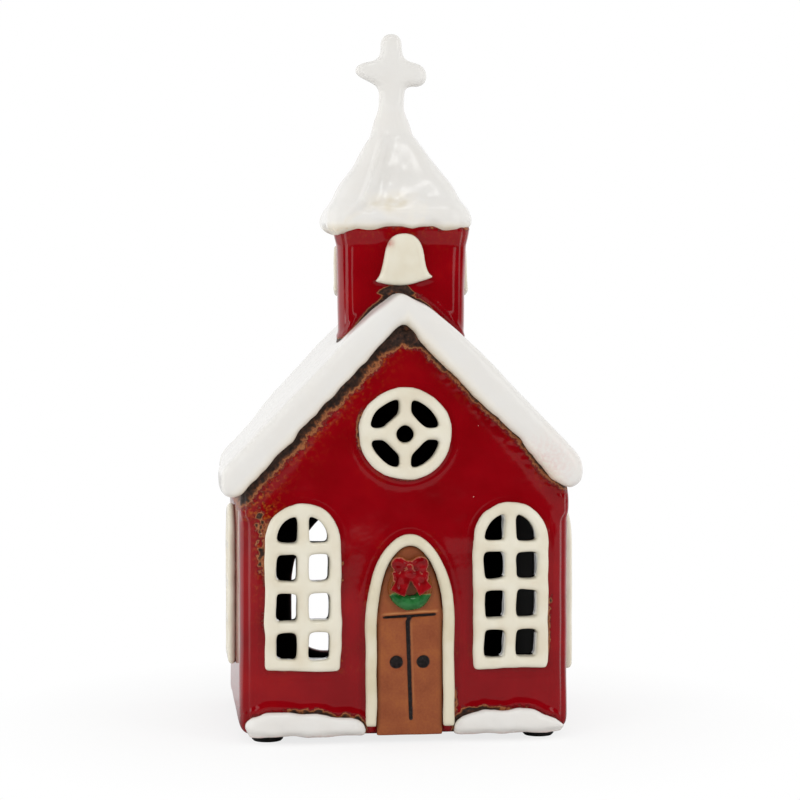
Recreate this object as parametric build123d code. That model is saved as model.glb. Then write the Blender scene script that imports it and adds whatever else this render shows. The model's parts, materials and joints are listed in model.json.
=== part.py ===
from build123d import *
from math import cos, radians, sin, tan
import os

# A glazed stoneware village church that glows with a tealight inside.
# Clay slabs form the walls, floor and roof; snow, belfry, window grilles, door and bells are luted on.
# Millimetres, +Z up, front wall towards -Y. The pieces are drawn about the middle of the walls and then
# moved sideways together, so that the origin is on the table under the middle of the whole.

# House walls and floor
BODY_WIDTH = 111.0
BODY_DEPTH = 96.0
WALL = 6.0
CORNER_RADIUS = 8.0
BASE_ROUND = 3.5
EAVE_HEIGHT = 76.0
ROOF_PITCH = 46.0
FLOOR = 6.0

# Felt feet under the corners
FOOT_DIAMETER = 10.5
FOOT_HEIGHT = 2.5
FOOT_ROUND = 0.6
FOOT_INSET = 9.5

# Roof slabs and the snow that rolls over their edges
ROOF_SLAB = 4.0
GABLE_OVERHANG = 0.8
SNOW = 9.5
SNOW_GABLE_ROLL = 4.9
SNOW_LEFT_ROLL = 6.5
SNOW_RIGHT_ROLL = 3.5
SNOW_LIP = 1.0
RIDGE_ROUND = 13.0
EAVE_ROUND = 6.5
EAVE_UNDER_ROUND = 3.8
SNOW_EDGE_ROUND = 3.0

# Belfry, its cap and the cross
TOWER_FOOT_WIDTH = 40.0
TOWER_HEAD_WIDTH = 44.2
TOWER_WALL = 5.0
TOWER_CORNER = 6.0
TOWER_OFFSET = 0.8
TOWER_SETBACK = 18.0
TOWER_RISE = 36.0
CAP_EAVE = 2.7
CAP_RISE = 39.0
CAP_NECK = 10.4
CAP_SPIGOT = 4.0
SPIRE_LEAN = -1.9
CROSS_HEIGHT = 29.5
CROSS_SPAN = 25.0
CROSS_BAR_DROP = 13.5
CROSS_LIMB = 8.8
CROSS_DEPTH = 7.4
CROSS_TENON = 8.0
CROSS_TENON_WIDTH = 5.0
BELL_WIDTH = 20.0
BELL_HEIGHT = 17.2
BELL_RELIEF = 3.0
SIDE_BELL_RELIEF = 2.0
SIDE_BELL_DROP = 3.4
BELL_HEAD_GAP = 1.8

# Windows: arched grilles of two columns and four rows, and a rose in the gable
WINDOW_WIDTH = 25.3
WINDOW_HEIGHT = 55.6
WINDOW_SILL = 22.0
WINDOW_RELIEF = 2.5
SIDE_WINDOW_HEADROOM = 1.8
LEFT_WINDOW_SET = 3.0
RIGHT_WINDOW_BACK = 28.0
RIGHT_WINDOW_RELIEF = 3.5
WINDOW_FLANGE = 2.2
WINDOW_BORDER = 3.7
GLAZING_BAR = 3.5
PANE_ROWS = 4
PANE_ROUND = 0.9
FRAME_ROUND = 1.1
ROSE_DIAMETER = 31.0
ROSE_DROP = 33.0
ROSE_OFFSET = -0.7
ROSE_BORDER = 3.6
ROSE_HUB = 12.4
ROSE_EYE = 6.4

# Door, its arch and the wreath
DOOR_WIDTH = 22.2
DOOR_HEIGHT = 63.3
DOOR_ARCH_RISE = 26.3
DOOR_OFFSET = 0.9
DOOR_RECESS = 1.6
DOOR_RELIEF = 0.8
ARCH_BAND = 3.9
ARCH_RELIEF = 2.6
ARCH_FOOT = 3.0
DOOR_GROOVE = 1.2
DOOR_GROOVE_DEPTH = 0.9
DOOR_RAIL_DROP = 23.6
DOOR_SEAM_FOOT = 4.6
KNOB_DIAMETER = 4.0
KNOB_DROP = 15.3
KNOB_SPACING = 9.0
WREATH_DROP = 14.1
WREATH_RADIUS = 5.3
WREATH_TUBE = 1.95
BOW_THICKNESS = 2.5

# Snow drifts at the foot of the front wall
DRIFT_HEIGHT = 9.2
DRIFT_DEPTH = 3.4
DRIFT_ROUND = 2.4

# Opening in the rear wall, wide enough for a hand and a tealight
REAR_WIDTH = 65.0
REAR_HEIGHT = 58.0
REAR_SILL = 15.0
REAR_CORNER = 12.0

# Tealight
CUP_DIAMETER = 38.0
CUP_HEIGHT = 16.0
CUP_SHEET = 0.5
CUP_TAPER = 0.6
CUP_LIP = 0.6
WAX_DEPTH = 11.5
WICK_DIAMETER = 1.6
WICK_STAND = 9.0
SUSTAINER_DIAMETER = 13.0
SUSTAINER_SHEET = 0.5
SUSTAINER_COLLAR = 3.4
SUSTAINER_COLLAR_DIAMETER = 3.2
TEALIGHT_FORWARD = 6.0

# Running room between a piece that drops into an aperture and the aperture
SEAT_CLEARANCE = 0.1
# How far a cutter runs past the face it opens
CUT_MARGIN = 1.0

# Places worked out from the sizes above
HALF_WIDTH = BODY_WIDTH / 2
HALF_DEPTH = BODY_DEPTH / 2
SLOPE = radians(ROOF_PITCH)
EAVE_Z = FOOT_HEIGHT + EAVE_HEIGHT
APEX_Z = EAVE_Z + HALF_WIDTH * tan(SLOPE)
TOWER_Y = -HALF_DEPTH + TOWER_SETBACK + TOWER_FOOT_WIDTH / 2
TOWER_TOP_Z = APEX_Z + TOWER_RISE
CROSS_X = TOWER_OFFSET + SPIRE_LEAN
CAP_TOP_Z = TOWER_TOP_Z + CAP_RISE
FLOOR_TOP_Z = FOOT_HEIGHT + FLOOR
ARCH_HALF_WIDTH = DOOR_WIDTH / 2 + ARCH_BAND
DOOR_RAIL_HEIGHT = DOOR_HEIGHT - DOOR_RAIL_DROP
KNOB_HEIGHT = DOOR_RAIL_HEIGHT - KNOB_DROP
WREATH_HEIGHT = DOOR_HEIGHT - WREATH_DROP
SIDE_WINDOW_SILL = EAVE_HEIGHT - SIDE_WINDOW_HEADROOM - WINDOW_HEIGHT
# The right wall's window keeps its distance from the front
RIGHT_WINDOW_SET = RIGHT_WINDOW_BACK - HALF_DEPTH
# The left window stands half way between the door arch and the corner, the right one as far out
WINDOW_SPREAD = (HALF_WIDTH + ARCH_HALF_WIDTH - DOOR_OFFSET) / 2

# Wall planes: local x along the wall, local y up from the wall's foot, local z outwards
FRONT = Plane((0, -HALF_DEPTH, FOOT_HEIGHT), x_dir=(1, 0, 0), z_dir=(0, -1, 0))
REAR = Plane((0, HALF_DEPTH, FOOT_HEIGHT), x_dir=(-1, 0, 0), z_dir=(0, 1, 0))
LEFT = Plane((-HALF_WIDTH, 0, FOOT_HEIGHT), x_dir=(0, -1, 0), z_dir=(-1, 0, 0))
RIGHT = Plane((HALF_WIDTH, 0, FOOT_HEIGHT), x_dir=(0, 1, 0), z_dir=(1, 0, 0))
DOOR_PLANE = Plane(FRONT * Pos(DOOR_OFFSET, 0, 0))

# The sideways move that brings the origin under the middle of the whole
CENTRING = Pos((SNOW_LEFT_ROLL - SNOW_RIGHT_ROLL) / 2, 0, 0)


def round_arch(width, height, corner=0.0):
    """A round-headed outline standing on the local x axis, its two lower corners rounded."""
    spring = height - width / 2
    head = Circle(width / 2) & Rectangle(width, width, align=(Align.CENTER, Align.MIN))
    outline = Rectangle(width, spring, align=(Align.CENTER, Align.MIN)) + Pos(0, spring) * head
    if corner:
        outline = fillet(outline.vertices().group_by(Axis.Y)[0], corner)
    return outline


def door_arch(width, height, rise, foot=0.0):
    """A tall elliptical arch that starts at the given height above the local x axis."""
    spring = height - rise
    legs = Pos(0, foot) * Rectangle(width, spring - foot, align=(Align.CENTER, Align.MIN))
    head = Ellipse(width / 2, rise) & Rectangle(width, rise, align=(Align.CENTER, Align.MIN))
    return legs + Pos(0, spring) * head


def under_roof(lift):
    """The space below a pair of roof planes that lie the given distance above the wall tops."""
    reach = BODY_WIDTH + BODY_DEPTH
    crown = APEX_Z + lift / cos(SLOPE)
    side = crown - reach * tan(SLOPE)
    foot = side - reach
    gable = Polyline((-reach, foot), (reach, foot), (reach, side), (0, crown), (-reach, side), close=True)
    return extrude(Plane.XZ * make_face(gable), amount=reach, both=True)


def roof_point(x, out):
    """A point of the roof's cross-section: its x, on the plane that far square out of the wall tops."""
    return (x, APEX_Z + out / cos(SLOPE) - abs(x) * tan(SLOPE))


def house_block():
    """The outside of the walls as a solid, its foot rounded off."""
    plan = Pos(0, 0, FOOT_HEIGHT) * RectangleRounded(BODY_WIDTH, BODY_DEPTH, CORNER_RADIUS)
    block = extrude(plan, amount=APEX_Z)
    return fillet(block.edges().group_by(Axis.Z)[0], BASE_ROUND)


def wall_ring():
    """The four walls as one gabled tube, before they are cut apart at the corner mitres."""
    inner_radius = max(CORNER_RADIUS - WALL, CORNER_RADIUS / 8)
    room = RectangleRounded(BODY_WIDTH - 2 * WALL, BODY_DEPTH - 2 * WALL, inner_radius)
    tube = house_block() - extrude(room, amount=2 * APEX_Z)
    return tube & under_roof(0)


def mitre_wedge(plane, length):
    """The block that holds one wall, its ends cut at 45 degrees through the corners of the house."""
    reach = WALL + CORNER_RADIUS
    half = length / 2
    plan = Polyline((-half, 0), (half, 0), (half - reach, -reach), (reach - half, -reach), close=True)
    flat = Plane(plane.origin, x_dir=plane.x_dir, z_dir=(0, 0, -1))
    # The flat plane's y points into the house or out of it, so the outline is turned to point inwards.
    inward = 1 if flat.y_dir.dot(plane.z_dir) > 0 else -1
    outline = make_face(plan if inward > 0 else mirror(plan, Plane.XZ))
    return extrude(flat * outline, amount=-2 * APEX_Z)


def through(plane, outline):
    """A cutter that runs through a wall."""
    return extrude(plane * outline, amount=WALL + CUT_MARGIN, both=True)


def window_plug():
    """The part of a grille's outline that drops through the wall."""
    outline = round_arch(WINDOW_WIDTH - 2 * WINDOW_FLANGE, WINDOW_HEIGHT - 2 * WINDOW_FLANGE)
    return Pos(0, WINDOW_FLANGE) * outline


def window_aperture():
    """The hole in the wall that takes a grille."""
    return offset(window_plug(), SEAT_CLEARANCE, kind=Kind.INTERSECTION)


def window_panes():
    """The eight panes: the arch inside the border, less one upright and the cross bars."""
    glazed = WINDOW_HEIGHT - 2 * WINDOW_BORDER
    panes = Pos(0, WINDOW_BORDER) * round_arch(WINDOW_WIDTH - 2 * WINDOW_BORDER, glazed)
    panes -= Rectangle(GLAZING_BAR, 2 * WINDOW_HEIGHT)
    pitch = (glazed + GLAZING_BAR) / PANE_ROWS
    for row in range(1, PANE_ROWS):
        bar_middle = WINDOW_BORDER + row * pitch - GLAZING_BAR / 2
        panes -= Pos(0, bar_middle) * Rectangle(WINDOW_WIDTH, GLAZING_BAR)
    return soften(panes, PANE_ROUND)


def soften(openings, radius):
    """The same openings with their corners rounded: each is drawn in and let out again round its corners."""
    return Sketch() + [offset(offset(face, -radius), radius) for face in openings.faces()]


def pierced_frame(plane, relief, flange, plug, panes):
    """A grille: a flange proud of the wall and a plug through it, pierced by the same panes."""
    front = extrude(plane * flange, amount=relief)
    face = front.faces().sort_by(Axis(plane.origin, plane.z_dir))[-1]
    front = fillet(face.edges(), FRAME_ROUND)
    body = front + extrude(plane * plug, amount=-WALL)
    return body - through(plane, panes)


def window_frame(plane, relief):
    flange = round_arch(WINDOW_WIDTH, WINDOW_HEIGHT, FRAME_ROUND)
    return pierced_frame(plane, relief, flange, window_plug(), window_panes())


def rose_openings():
    """Four openings between a cross of bars, a square hub set on its corner and the rim, and a round eye."""
    openings = Circle(ROSE_DIAMETER / 2 - ROSE_BORDER)
    openings -= Rectangle(GLAZING_BAR, ROSE_DIAMETER)
    openings -= Rectangle(ROSE_DIAMETER, GLAZING_BAR)
    openings -= Rot(0, 0, 45) * Rectangle(ROSE_HUB, ROSE_HUB)
    return soften(openings, PANE_ROUND) + Circle(ROSE_EYE / 2)


def rose_plug():
    return Circle(ROSE_DIAMETER / 2 - WINDOW_FLANGE)


def rose_frame(plane):
    return pierced_frame(plane, WINDOW_RELIEF, Circle(ROSE_DIAMETER / 2), rose_plug(), rose_openings())


WINDOWS = {
    "front_left_window": (Plane(FRONT * Pos(-WINDOW_SPREAD, WINDOW_SILL)), WINDOW_RELIEF),
    "front_right_window": (Plane(FRONT * Pos(WINDOW_SPREAD, WINDOW_SILL)), WINDOW_RELIEF),
    "left_window": (Plane(LEFT * Pos(-LEFT_WINDOW_SET, SIDE_WINDOW_SILL)), WINDOW_RELIEF),
    "right_window": (Plane(RIGHT * Pos(RIGHT_WINDOW_SET, SIDE_WINDOW_SILL)), RIGHT_WINDOW_RELIEF),
}
ROSE_PLANE = Plane(FRONT * Pos(ROSE_OFFSET, APEX_Z - FOOT_HEIGHT - ROSE_DROP))


def house_walls():
    """Four slabs with mitred corners, pierced for the windows and the rear opening."""
    ring = wall_ring()
    for plane, relief in WINDOWS.values():
        ring -= through(plane, window_aperture())
    ring -= through(ROSE_PLANE, offset(rose_plug(), SEAT_CLEARANCE))
    ring -= extrude(DOOR_PLANE * door_arch(DOOR_WIDTH, DOOR_HEIGHT, DOOR_ARCH_RISE), amount=-DOOR_RECESS)
    ring -= through(REAR * Pos(0, REAR_SILL), round_arch(REAR_WIDTH, REAR_HEIGHT, REAR_CORNER))
    return {
        "front_wall": ring & mitre_wedge(FRONT, BODY_WIDTH),
        "rear_wall": ring & mitre_wedge(REAR, BODY_WIDTH),
        "left_wall": ring & mitre_wedge(LEFT, BODY_DEPTH),
        "right_wall": ring & mitre_wedge(RIGHT, BODY_DEPTH),
    }


def floor_slab():
    """The floor, let in between the walls and flush with their feet."""
    plan = RectangleRounded(
        BODY_WIDTH - 2 * (WALL + SEAT_CLEARANCE), BODY_DEPTH - 2 * (WALL + SEAT_CLEARANCE), CORNER_RADIUS
    )
    return extrude(Pos(0, 0, FOOT_HEIGHT) * plan, amount=FLOOR)


def felt_feet():
    """A round pad under each corner of the house, half under the wall and half under the floor."""
    pad = Cylinder(FOOT_DIAMETER / 2, FOOT_HEIGHT, align=(Align.CENTER, Align.CENTER, Align.MIN))
    pad = chamfer(pad.edges().group_by(Axis.Z)[0], FOOT_ROUND)
    feet = {}
    for end, y in (("front", -HALF_DEPTH + FOOT_INSET), ("rear", HALF_DEPTH - FOOT_INSET)):
        for hand, x in (("left", -HALF_WIDTH + FOOT_INSET), ("right", HALF_WIDTH - FOOT_INSET)):
            feet[f"{end}_{hand}_foot"] = Pos(x, y, 0) * pad
    return feet


def roof_slab(side):
    """One slope of the roof, mitred at the ridge and cut plumb with the side wall at the eave."""
    eave = side * HALF_WIDTH
    under = (roof_point(0, 0), roof_point(eave, 0))
    over = (roof_point(eave, ROOF_SLAB), roof_point(0, ROOF_SLAB))
    section = make_face(Polyline(*under, *over, close=True))
    return extrude(Plane.XZ * section, amount=HALF_DEPTH + GABLE_OVERHANG, both=True)


def tower_block():
    """The outside of the belfry as a solid: a rounded square that widens a little to its head."""
    place = Pos(TOWER_OFFSET, TOWER_Y, 0)
    foot = place * Pos(0, 0, EAVE_Z) * RectangleRounded(TOWER_FOOT_WIDTH, TOWER_FOOT_WIDTH, TOWER_CORNER)
    head = place * Pos(0, 0, TOWER_TOP_Z) * RectangleRounded(TOWER_HEAD_WIDTH, TOWER_HEAD_WIDTH, TOWER_CORNER)
    return loft([foot, head])


def roof_snow(slabs, tower):
    """A thick blanket over both slopes, rolled over the gable and eave edges and banked round the belfry."""
    left = -HALF_WIDTH - SNOW_LEFT_ROLL
    right = HALF_WIDTH + SNOW_RIGHT_ROLL
    under = ROOF_SLAB - SNOW_LIP
    over = ROOF_SLAB + SNOW
    rounds = (
        (roof_point(right, under), EAVE_UNDER_ROUND),
        (roof_point(right, over), EAVE_ROUND),
        (roof_point(0, over), RIDGE_ROUND),
        (roof_point(left, over), EAVE_ROUND),
        (roof_point(left, under), EAVE_UNDER_ROUND),
    )
    section = make_face(Polyline(roof_point(0, under), *[point for point, radius in rounds], close=True))
    for point, radius in rounds:
        section = fillet([nearest(section, point)], radius)
    reach = HALF_DEPTH + GABLE_OVERHANG + SNOW_GABLE_ROLL
    blanket = extrude(Plane.XZ * section, amount=reach, both=True)
    ends = blanket.faces().sort_by(Axis.Y)
    rims = [edge for edge in ends[0].edges() + ends[-1].edges() if on_top(edge, under)]
    blanket = fillet(rims, SNOW_EDGE_ROUND)
    for slab in slabs:
        blanket -= slab
    return blanket - tower


def nearest(shape, point):
    """The vertex of a flat shape that lies closest to a point."""
    return min(shape.vertices(), key=lambda v: (v.X - point[0]) ** 2 + (v.Y - point[1]) ** 2)


def on_top(edge, under):
    """True for an edge of the blanket's end that isn't on its underside."""
    middle = edge.center()
    height_over_plane = (middle.Z - APEX_Z) * cos(SLOPE) + abs(middle.X) * sin(SLOPE)
    return height_over_plane > under + CUT_MARGIN / 10


def belfry_tower(block):
    """The belfry's four walls, saddled over the roof slabs and open at the head."""
    bore_width = TOWER_FOOT_WIDTH - 2 * TOWER_WALL
    bore_plan = RectangleRounded(bore_width, bore_width, TOWER_CORNER / 2)
    bore = extrude(Pos(TOWER_OFFSET, TOWER_Y, EAVE_Z) * bore_plan, amount=2 * TOWER_TOP_Z)
    return block - bore - under_roof(ROOF_SLAB)


def spire_cap():
    """The snow cap: a rolled eave, a hollow-sided pyramid, and a spigot that drops into the belfry."""
    eave_width = TOWER_HEAD_WIDTH + 2 * CAP_EAVE
    # Each ring of the cap: share of the rise, share of the way in from the eave to the neck, corner share
    rings = (
        (0, 0.11, 0.16),
        (0.1, 0, 0.17),
        (0.19, 0.09, 0.18),
        (0.32, 0.21, 0.2),
        (0.48, 0.41, 0.24),
        (0.65, 0.64, 0.3),
        (0.82, 0.84, 0.38),
        (1, 1, 0.48),
    )
    sections = []
    for rise, inward, corner in rings:
        width = eave_width + (CAP_NECK - eave_width) * inward
        ring = RectangleRounded(width, width, width * corner)
        sections.append(Pos(TOWER_OFFSET + SPIRE_LEAN * rise, TOWER_Y, TOWER_TOP_Z + CAP_RISE * rise) * ring)
    cap = loft(sections)
    spigot_width = TOWER_FOOT_WIDTH - 2 * (TOWER_WALL + SEAT_CLEARANCE)
    spigot = RectangleRounded(spigot_width, spigot_width, TOWER_CORNER / 2)
    cap += extrude(Pos(TOWER_OFFSET, TOWER_Y, TOWER_TOP_Z - CAP_SPIGOT) * spigot, amount=2 * CAP_SPIGOT)
    socket = Circle(CROSS_TENON_WIDTH / 2 + SEAT_CLEARANCE)
    return cap - extrude(Pos(CROSS_X, TOWER_Y, CAP_TOP_Z - CROSS_TENON) * socket, amount=2 * CROSS_TENON)


def cross():
    """A stubby cross with rounded limbs, on a round tenon that drops into the cap."""
    bar_z = CROSS_HEIGHT - CROSS_BAR_DROP
    stem_length = CROSS_HEIGHT + CROSS_LIMB
    stem = Pos(0, -CROSS_LIMB) * Rectangle(CROSS_LIMB, stem_length, align=(Align.CENTER, Align.MIN))
    bar = Pos(0, bar_z) * Rectangle(CROSS_SPAN, CROSS_LIMB)
    outline = stem + bar
    inner = [v for v in outline.vertices() if abs(v.Y - bar_z) < CROSS_LIMB and abs(v.X) < CROSS_LIMB]
    outer = [v for v in outline.vertices() if v.Y > bar_z - CROSS_LIMB and v not in inner]
    outline = fillet(inner, CROSS_LIMB / 4)
    outline = fillet([nearest(outline, (v.X, v.Y)) for v in outer], CROSS_LIMB * 0.42)
    upright = Plane((CROSS_X, TOWER_Y, CAP_TOP_Z), x_dir=(1, 0, 0), z_dir=(0, -1, 0))
    limbs = extrude(upright * outline, amount=CROSS_DEPTH / 2, both=True)
    faces = limbs.faces().sort_by(Axis.Y)
    limbs = fillet(faces[0].edges() + faces[-1].edges(), CROSS_DEPTH * 0.36)
    keep = Pos(CROSS_X, TOWER_Y, CAP_TOP_Z) * Box(
        2 * CROSS_SPAN, 2 * CROSS_SPAN, 2 * CROSS_HEIGHT, align=(Align.CENTER, Align.CENTER, Align.MIN)
    )
    tenon = Pos(CROSS_X, TOWER_Y, CAP_TOP_Z - CROSS_TENON) * Cylinder(
        CROSS_TENON_WIDTH / 2, 2 * CROSS_TENON, align=(Align.CENTER, Align.CENTER, Align.MIN)
    )
    return (limbs & keep) + tenon


def bell_outline():
    """Half-round dome, straight waist and flared lip, standing on the local x axis."""
    half = BELL_WIDTH / 2
    lip = (half, BELL_HEIGHT * 0.1)
    waist = (half * 0.76, BELL_HEIGHT * 0.32)
    shoulder = (half * 0.56, BELL_HEIGHT * 0.8)
    right = Spline(lip, waist, shoulder, (0, BELL_HEIGHT), tangents=((-1, 0.5), (-1, 0)))
    left = mirror(right, Plane.YZ)
    foot = ThreePointArc((-lip[0], lip[1]), (0, -BELL_HEIGHT * 0.02), lip)
    return make_face(right.edges() + left.edges() + foot.edges())


def bells(block):
    """A bell in relief on each face of the belfry, hung just under the cap, the side ones a little lower."""
    front_foot = TOWER_TOP_Z - BELL_HEAD_GAP - BELL_HEIGHT
    side_foot = front_foot - SIDE_BELL_DROP
    made = {}
    for name, x_dir, z_dir, foot, relief in (
        ("front_bell", (1, 0, 0), (0, -1, 0), front_foot, BELL_RELIEF),
        ("rear_bell", (-1, 0, 0), (0, 1, 0), front_foot, BELL_RELIEF),
        ("left_bell", (0, -1, 0), (-1, 0, 0), side_foot, SIDE_BELL_RELIEF),
        ("right_bell", (0, 1, 0), (1, 0, 0), side_foot, SIDE_BELL_RELIEF),
    ):
        face = Plane((TOWER_OFFSET, TOWER_Y, foot), x_dir=x_dir, z_dir=z_dir)
        bell = extrude(face * bell_outline(), amount=TOWER_HEAD_WIDTH / 2 + relief)
        crown = bell.faces().sort_by(Axis(face.origin, face.z_dir))[-1]
        bell = fillet(crown.edges(), relief / 2)
        made[name] = bell - block
    return made


def door_panel():
    """Two brown leaves cut in one panel: a rail groove, a seam between the leaves and two knob marks."""
    outline = door_arch(DOOR_WIDTH - 2 * SEAT_CLEARANCE, DOOR_HEIGHT - SEAT_CLEARANCE, DOOR_ARCH_RISE)
    sunk = Plane(DOOR_PLANE * Pos(0, 0, -DOOR_RECESS))
    panel = extrude(sunk * outline, amount=DOOR_RECESS + DOOR_RELIEF)
    rail_length = DOOR_WIDTH - 2 * ARCH_BAND + DOOR_GROOVE
    seam = DOOR_RAIL_HEIGHT - DOOR_SEAM_FOOT
    marks = Pos(0, DOOR_RAIL_HEIGHT) * SlotOverall(rail_length, DOOR_GROOVE)
    marks += Pos(0, DOOR_SEAM_FOOT + seam / 2) * Rectangle(DOOR_GROOVE, seam)
    for side in (-1, 1):
        marks += Pos(side * KNOB_SPACING / 2, KNOB_HEIGHT) * Circle(KNOB_DIAMETER / 2)
    return panel - extrude(DOOR_PLANE * Pos(0, 0, DOOR_RELIEF) * marks, amount=-DOOR_GROOVE_DEPTH)


def door_surround():
    """The cream arch round the door, its legs stopping short of the ground."""
    band = door_arch(
        DOOR_WIDTH + 2 * ARCH_BAND, DOOR_HEIGHT + ARCH_BAND, DOOR_ARCH_RISE + ARCH_BAND, ARCH_FOOT
    ) - door_arch(DOOR_WIDTH, DOOR_HEIGHT, DOOR_ARCH_RISE)
    arch = extrude(DOOR_PLANE * band, amount=ARCH_RELIEF)
    face = arch.faces().sort_by(Axis.Y)[0]
    return fillet(face.edges(), ARCH_RELIEF * 0.4)


def wreath():
    """A half-round ring on the door, and a bow with two loops and two tails laid over its top."""
    middle = Plane(DOOR_PLANE * Pos(0, WREATH_HEIGHT, DOOR_RELIEF))
    front = extrude(middle * Circle(4 * WREATH_RADIUS), amount=4 * WREATH_TUBE)
    ring = middle * Torus(WREATH_RADIUS, WREATH_TUBE) & front
    loop = Ellipse(WREATH_RADIUS * 0.62, WREATH_RADIUS * 0.45)
    tail = make_face(
        Polyline(
            (0, WREATH_RADIUS),
            (WREATH_RADIUS * 0.55, WREATH_RADIUS * 0.75),
            (WREATH_RADIUS * 1.3, -WREATH_RADIUS * 0.2),
            (WREATH_RADIUS * 0.6, -WREATH_RADIUS * 0.4),
            close=True,
        )
    )
    half_bow = Pos(WREATH_RADIUS * 0.68, WREATH_RADIUS * 1.02) * Rot(0, 0, 18) * loop + tail
    knot = Pos(0, WREATH_RADIUS * 0.9) * Circle(WREATH_RADIUS * 0.36)
    outline = half_bow + mirror(half_bow, Plane.YZ) + knot
    bow = extrude(middle * outline, amount=BOW_THICKNESS) - ring
    return {"wreath_ring": ring, "wreath_bow": bow.solids().sort_by(SortBy.VOLUME)[-1]}


def snow_drift(start, end, crest, left_share, right_share):
    """A bank of snow along the foot of the front wall, highest at its crest and blunt at both ends."""
    peak = (start + (end - start) * crest, DRIFT_HEIGHT)
    shoulders = ((start, DRIFT_HEIGHT * left_share), (end, DRIFT_HEIGHT * right_share))
    outline = make_face(Polyline((start, 0), shoulders[0], peak, shoulders[1], (end, 0), close=True))
    for shoulder in shoulders:
        outline = fillet([nearest(outline, shoulder)], DRIFT_ROUND + CUT_MARGIN)
    outline = fillet([nearest(outline, peak)], 4 * DRIFT_HEIGHT)
    bank = extrude(FRONT * outline, amount=DRIFT_DEPTH) + extrude(FRONT * outline, amount=-CORNER_RADIUS)
    rim = bank.faces().sort_by(Axis.Y)[0].edges().sort_by(Axis.Z)[1:]
    bank = fillet(rim, DRIFT_ROUND)
    return bank - house_block()


def snow_drifts():
    """One drift each side of the door, from the arch to just short of the corner."""
    end = HALF_WIDTH - CORNER_RADIUS / 5
    return {
        "left_snow_drift": snow_drift(-end, DOOR_OFFSET - ARCH_HALF_WIDTH, 0.3, 0.86, 0.56),
        "right_snow_drift": snow_drift(DOOR_OFFSET + ARCH_HALF_WIDTH, end, 0.55, 0.66, 0.6),
    }


def tealight():
    """A tealight on the floor: a pressed cup with a rolled lip, the wax, and a wick in its sustainer."""
    place = Pos(0, -TEALIGHT_FORWARD, FLOOR_TOP_Z)
    radius = CUP_DIAMETER / 2
    foot_radius = radius - CUP_TAPER
    wall = Polyline(
        (0, 0),
        (foot_radius, 0),
        (radius, CUP_HEIGHT),
        (radius - CUP_SHEET, CUP_HEIGHT),
        (foot_radius - CUP_SHEET, CUP_SHEET),
        (0, CUP_SHEET),
        close=True,
    )
    lip = Pos(radius - CUP_SHEET / 2, CUP_HEIGHT) * Circle(CUP_LIP)
    cup = revolve(Plane.XZ * (make_face(wall) + lip), Axis.Z)
    brim = foot_radius - CUP_SHEET + CUP_TAPER * WAX_DEPTH / CUP_HEIGHT
    fill = Polyline(
        (0, CUP_SHEET),
        (foot_radius - CUP_SHEET, CUP_SHEET),
        (brim, CUP_SHEET + WAX_DEPTH),
        (0, CUP_SHEET + WAX_DEPTH),
        close=True,
    )
    wax = revolve(Plane.XZ * make_face(fill), Axis.Z)
    wick_hole = Circle(WICK_DIAMETER / 2)
    foot_z = CUP_SHEET
    sustainer = extrude(Pos(0, 0, foot_z) * Circle(SUSTAINER_DIAMETER / 2), amount=SUSTAINER_SHEET)
    sustainer += extrude(Pos(0, 0, foot_z) * Circle(SUSTAINER_COLLAR_DIAMETER / 2), amount=SUSTAINER_COLLAR)
    sustainer -= extrude(Pos(0, 0, foot_z + SUSTAINER_SHEET) * wick_hole, amount=SUSTAINER_COLLAR)
    wick_length = WAX_DEPTH - SUSTAINER_SHEET + WICK_STAND
    wick = extrude(Pos(0, 0, foot_z + SUSTAINER_SHEET) * wick_hole, amount=wick_length)
    wick = fillet(wick.edges().group_by(Axis.Z)[-1], WICK_DIAMETER / 4)
    wax = wax - sustainer - wick
    return {
        "tealight_cup": place * (cup - wax),
        "tealight_wax": place * wax,
        "tealight_wick": place * wick,
        "wick_sustainer": place * sustainer,
    }


def all_parts():
    slabs = {"left_roof_slab": roof_slab(-1), "right_roof_slab": roof_slab(1)}
    block = tower_block()
    parts = house_walls()
    parts["floor_slab"] = floor_slab()
    parts |= felt_feet()
    parts |= slabs
    parts["roof_snow"] = roof_snow(slabs.values(), block)
    parts["belfry_tower"] = belfry_tower(block)
    parts["spire_cap"] = spire_cap()
    parts["cross"] = cross()
    parts |= bells(block)
    for name, (plane, relief) in WINDOWS.items():
        parts[name] = window_frame(plane, relief)
    parts["rose_window"] = rose_frame(ROSE_PLANE)
    parts["door_panel"] = door_panel()
    parts["door_surround"] = door_surround()
    parts |= wreath()
    parts |= snow_drifts()
    parts |= tealight()
    return parts


os.makedirs("parts", exist_ok=True)
for node, shape in all_parts().items():
    export_step(CENTRING * shape, f"parts/{node}.step")
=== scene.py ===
"""Glazed stoneware village church for a tealight: the looks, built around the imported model."""

import json
import math

import bmesh
import bpy
from mathutils import Matrix, Vector, noise
from mathutils.bvhtree import BVHTree

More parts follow.
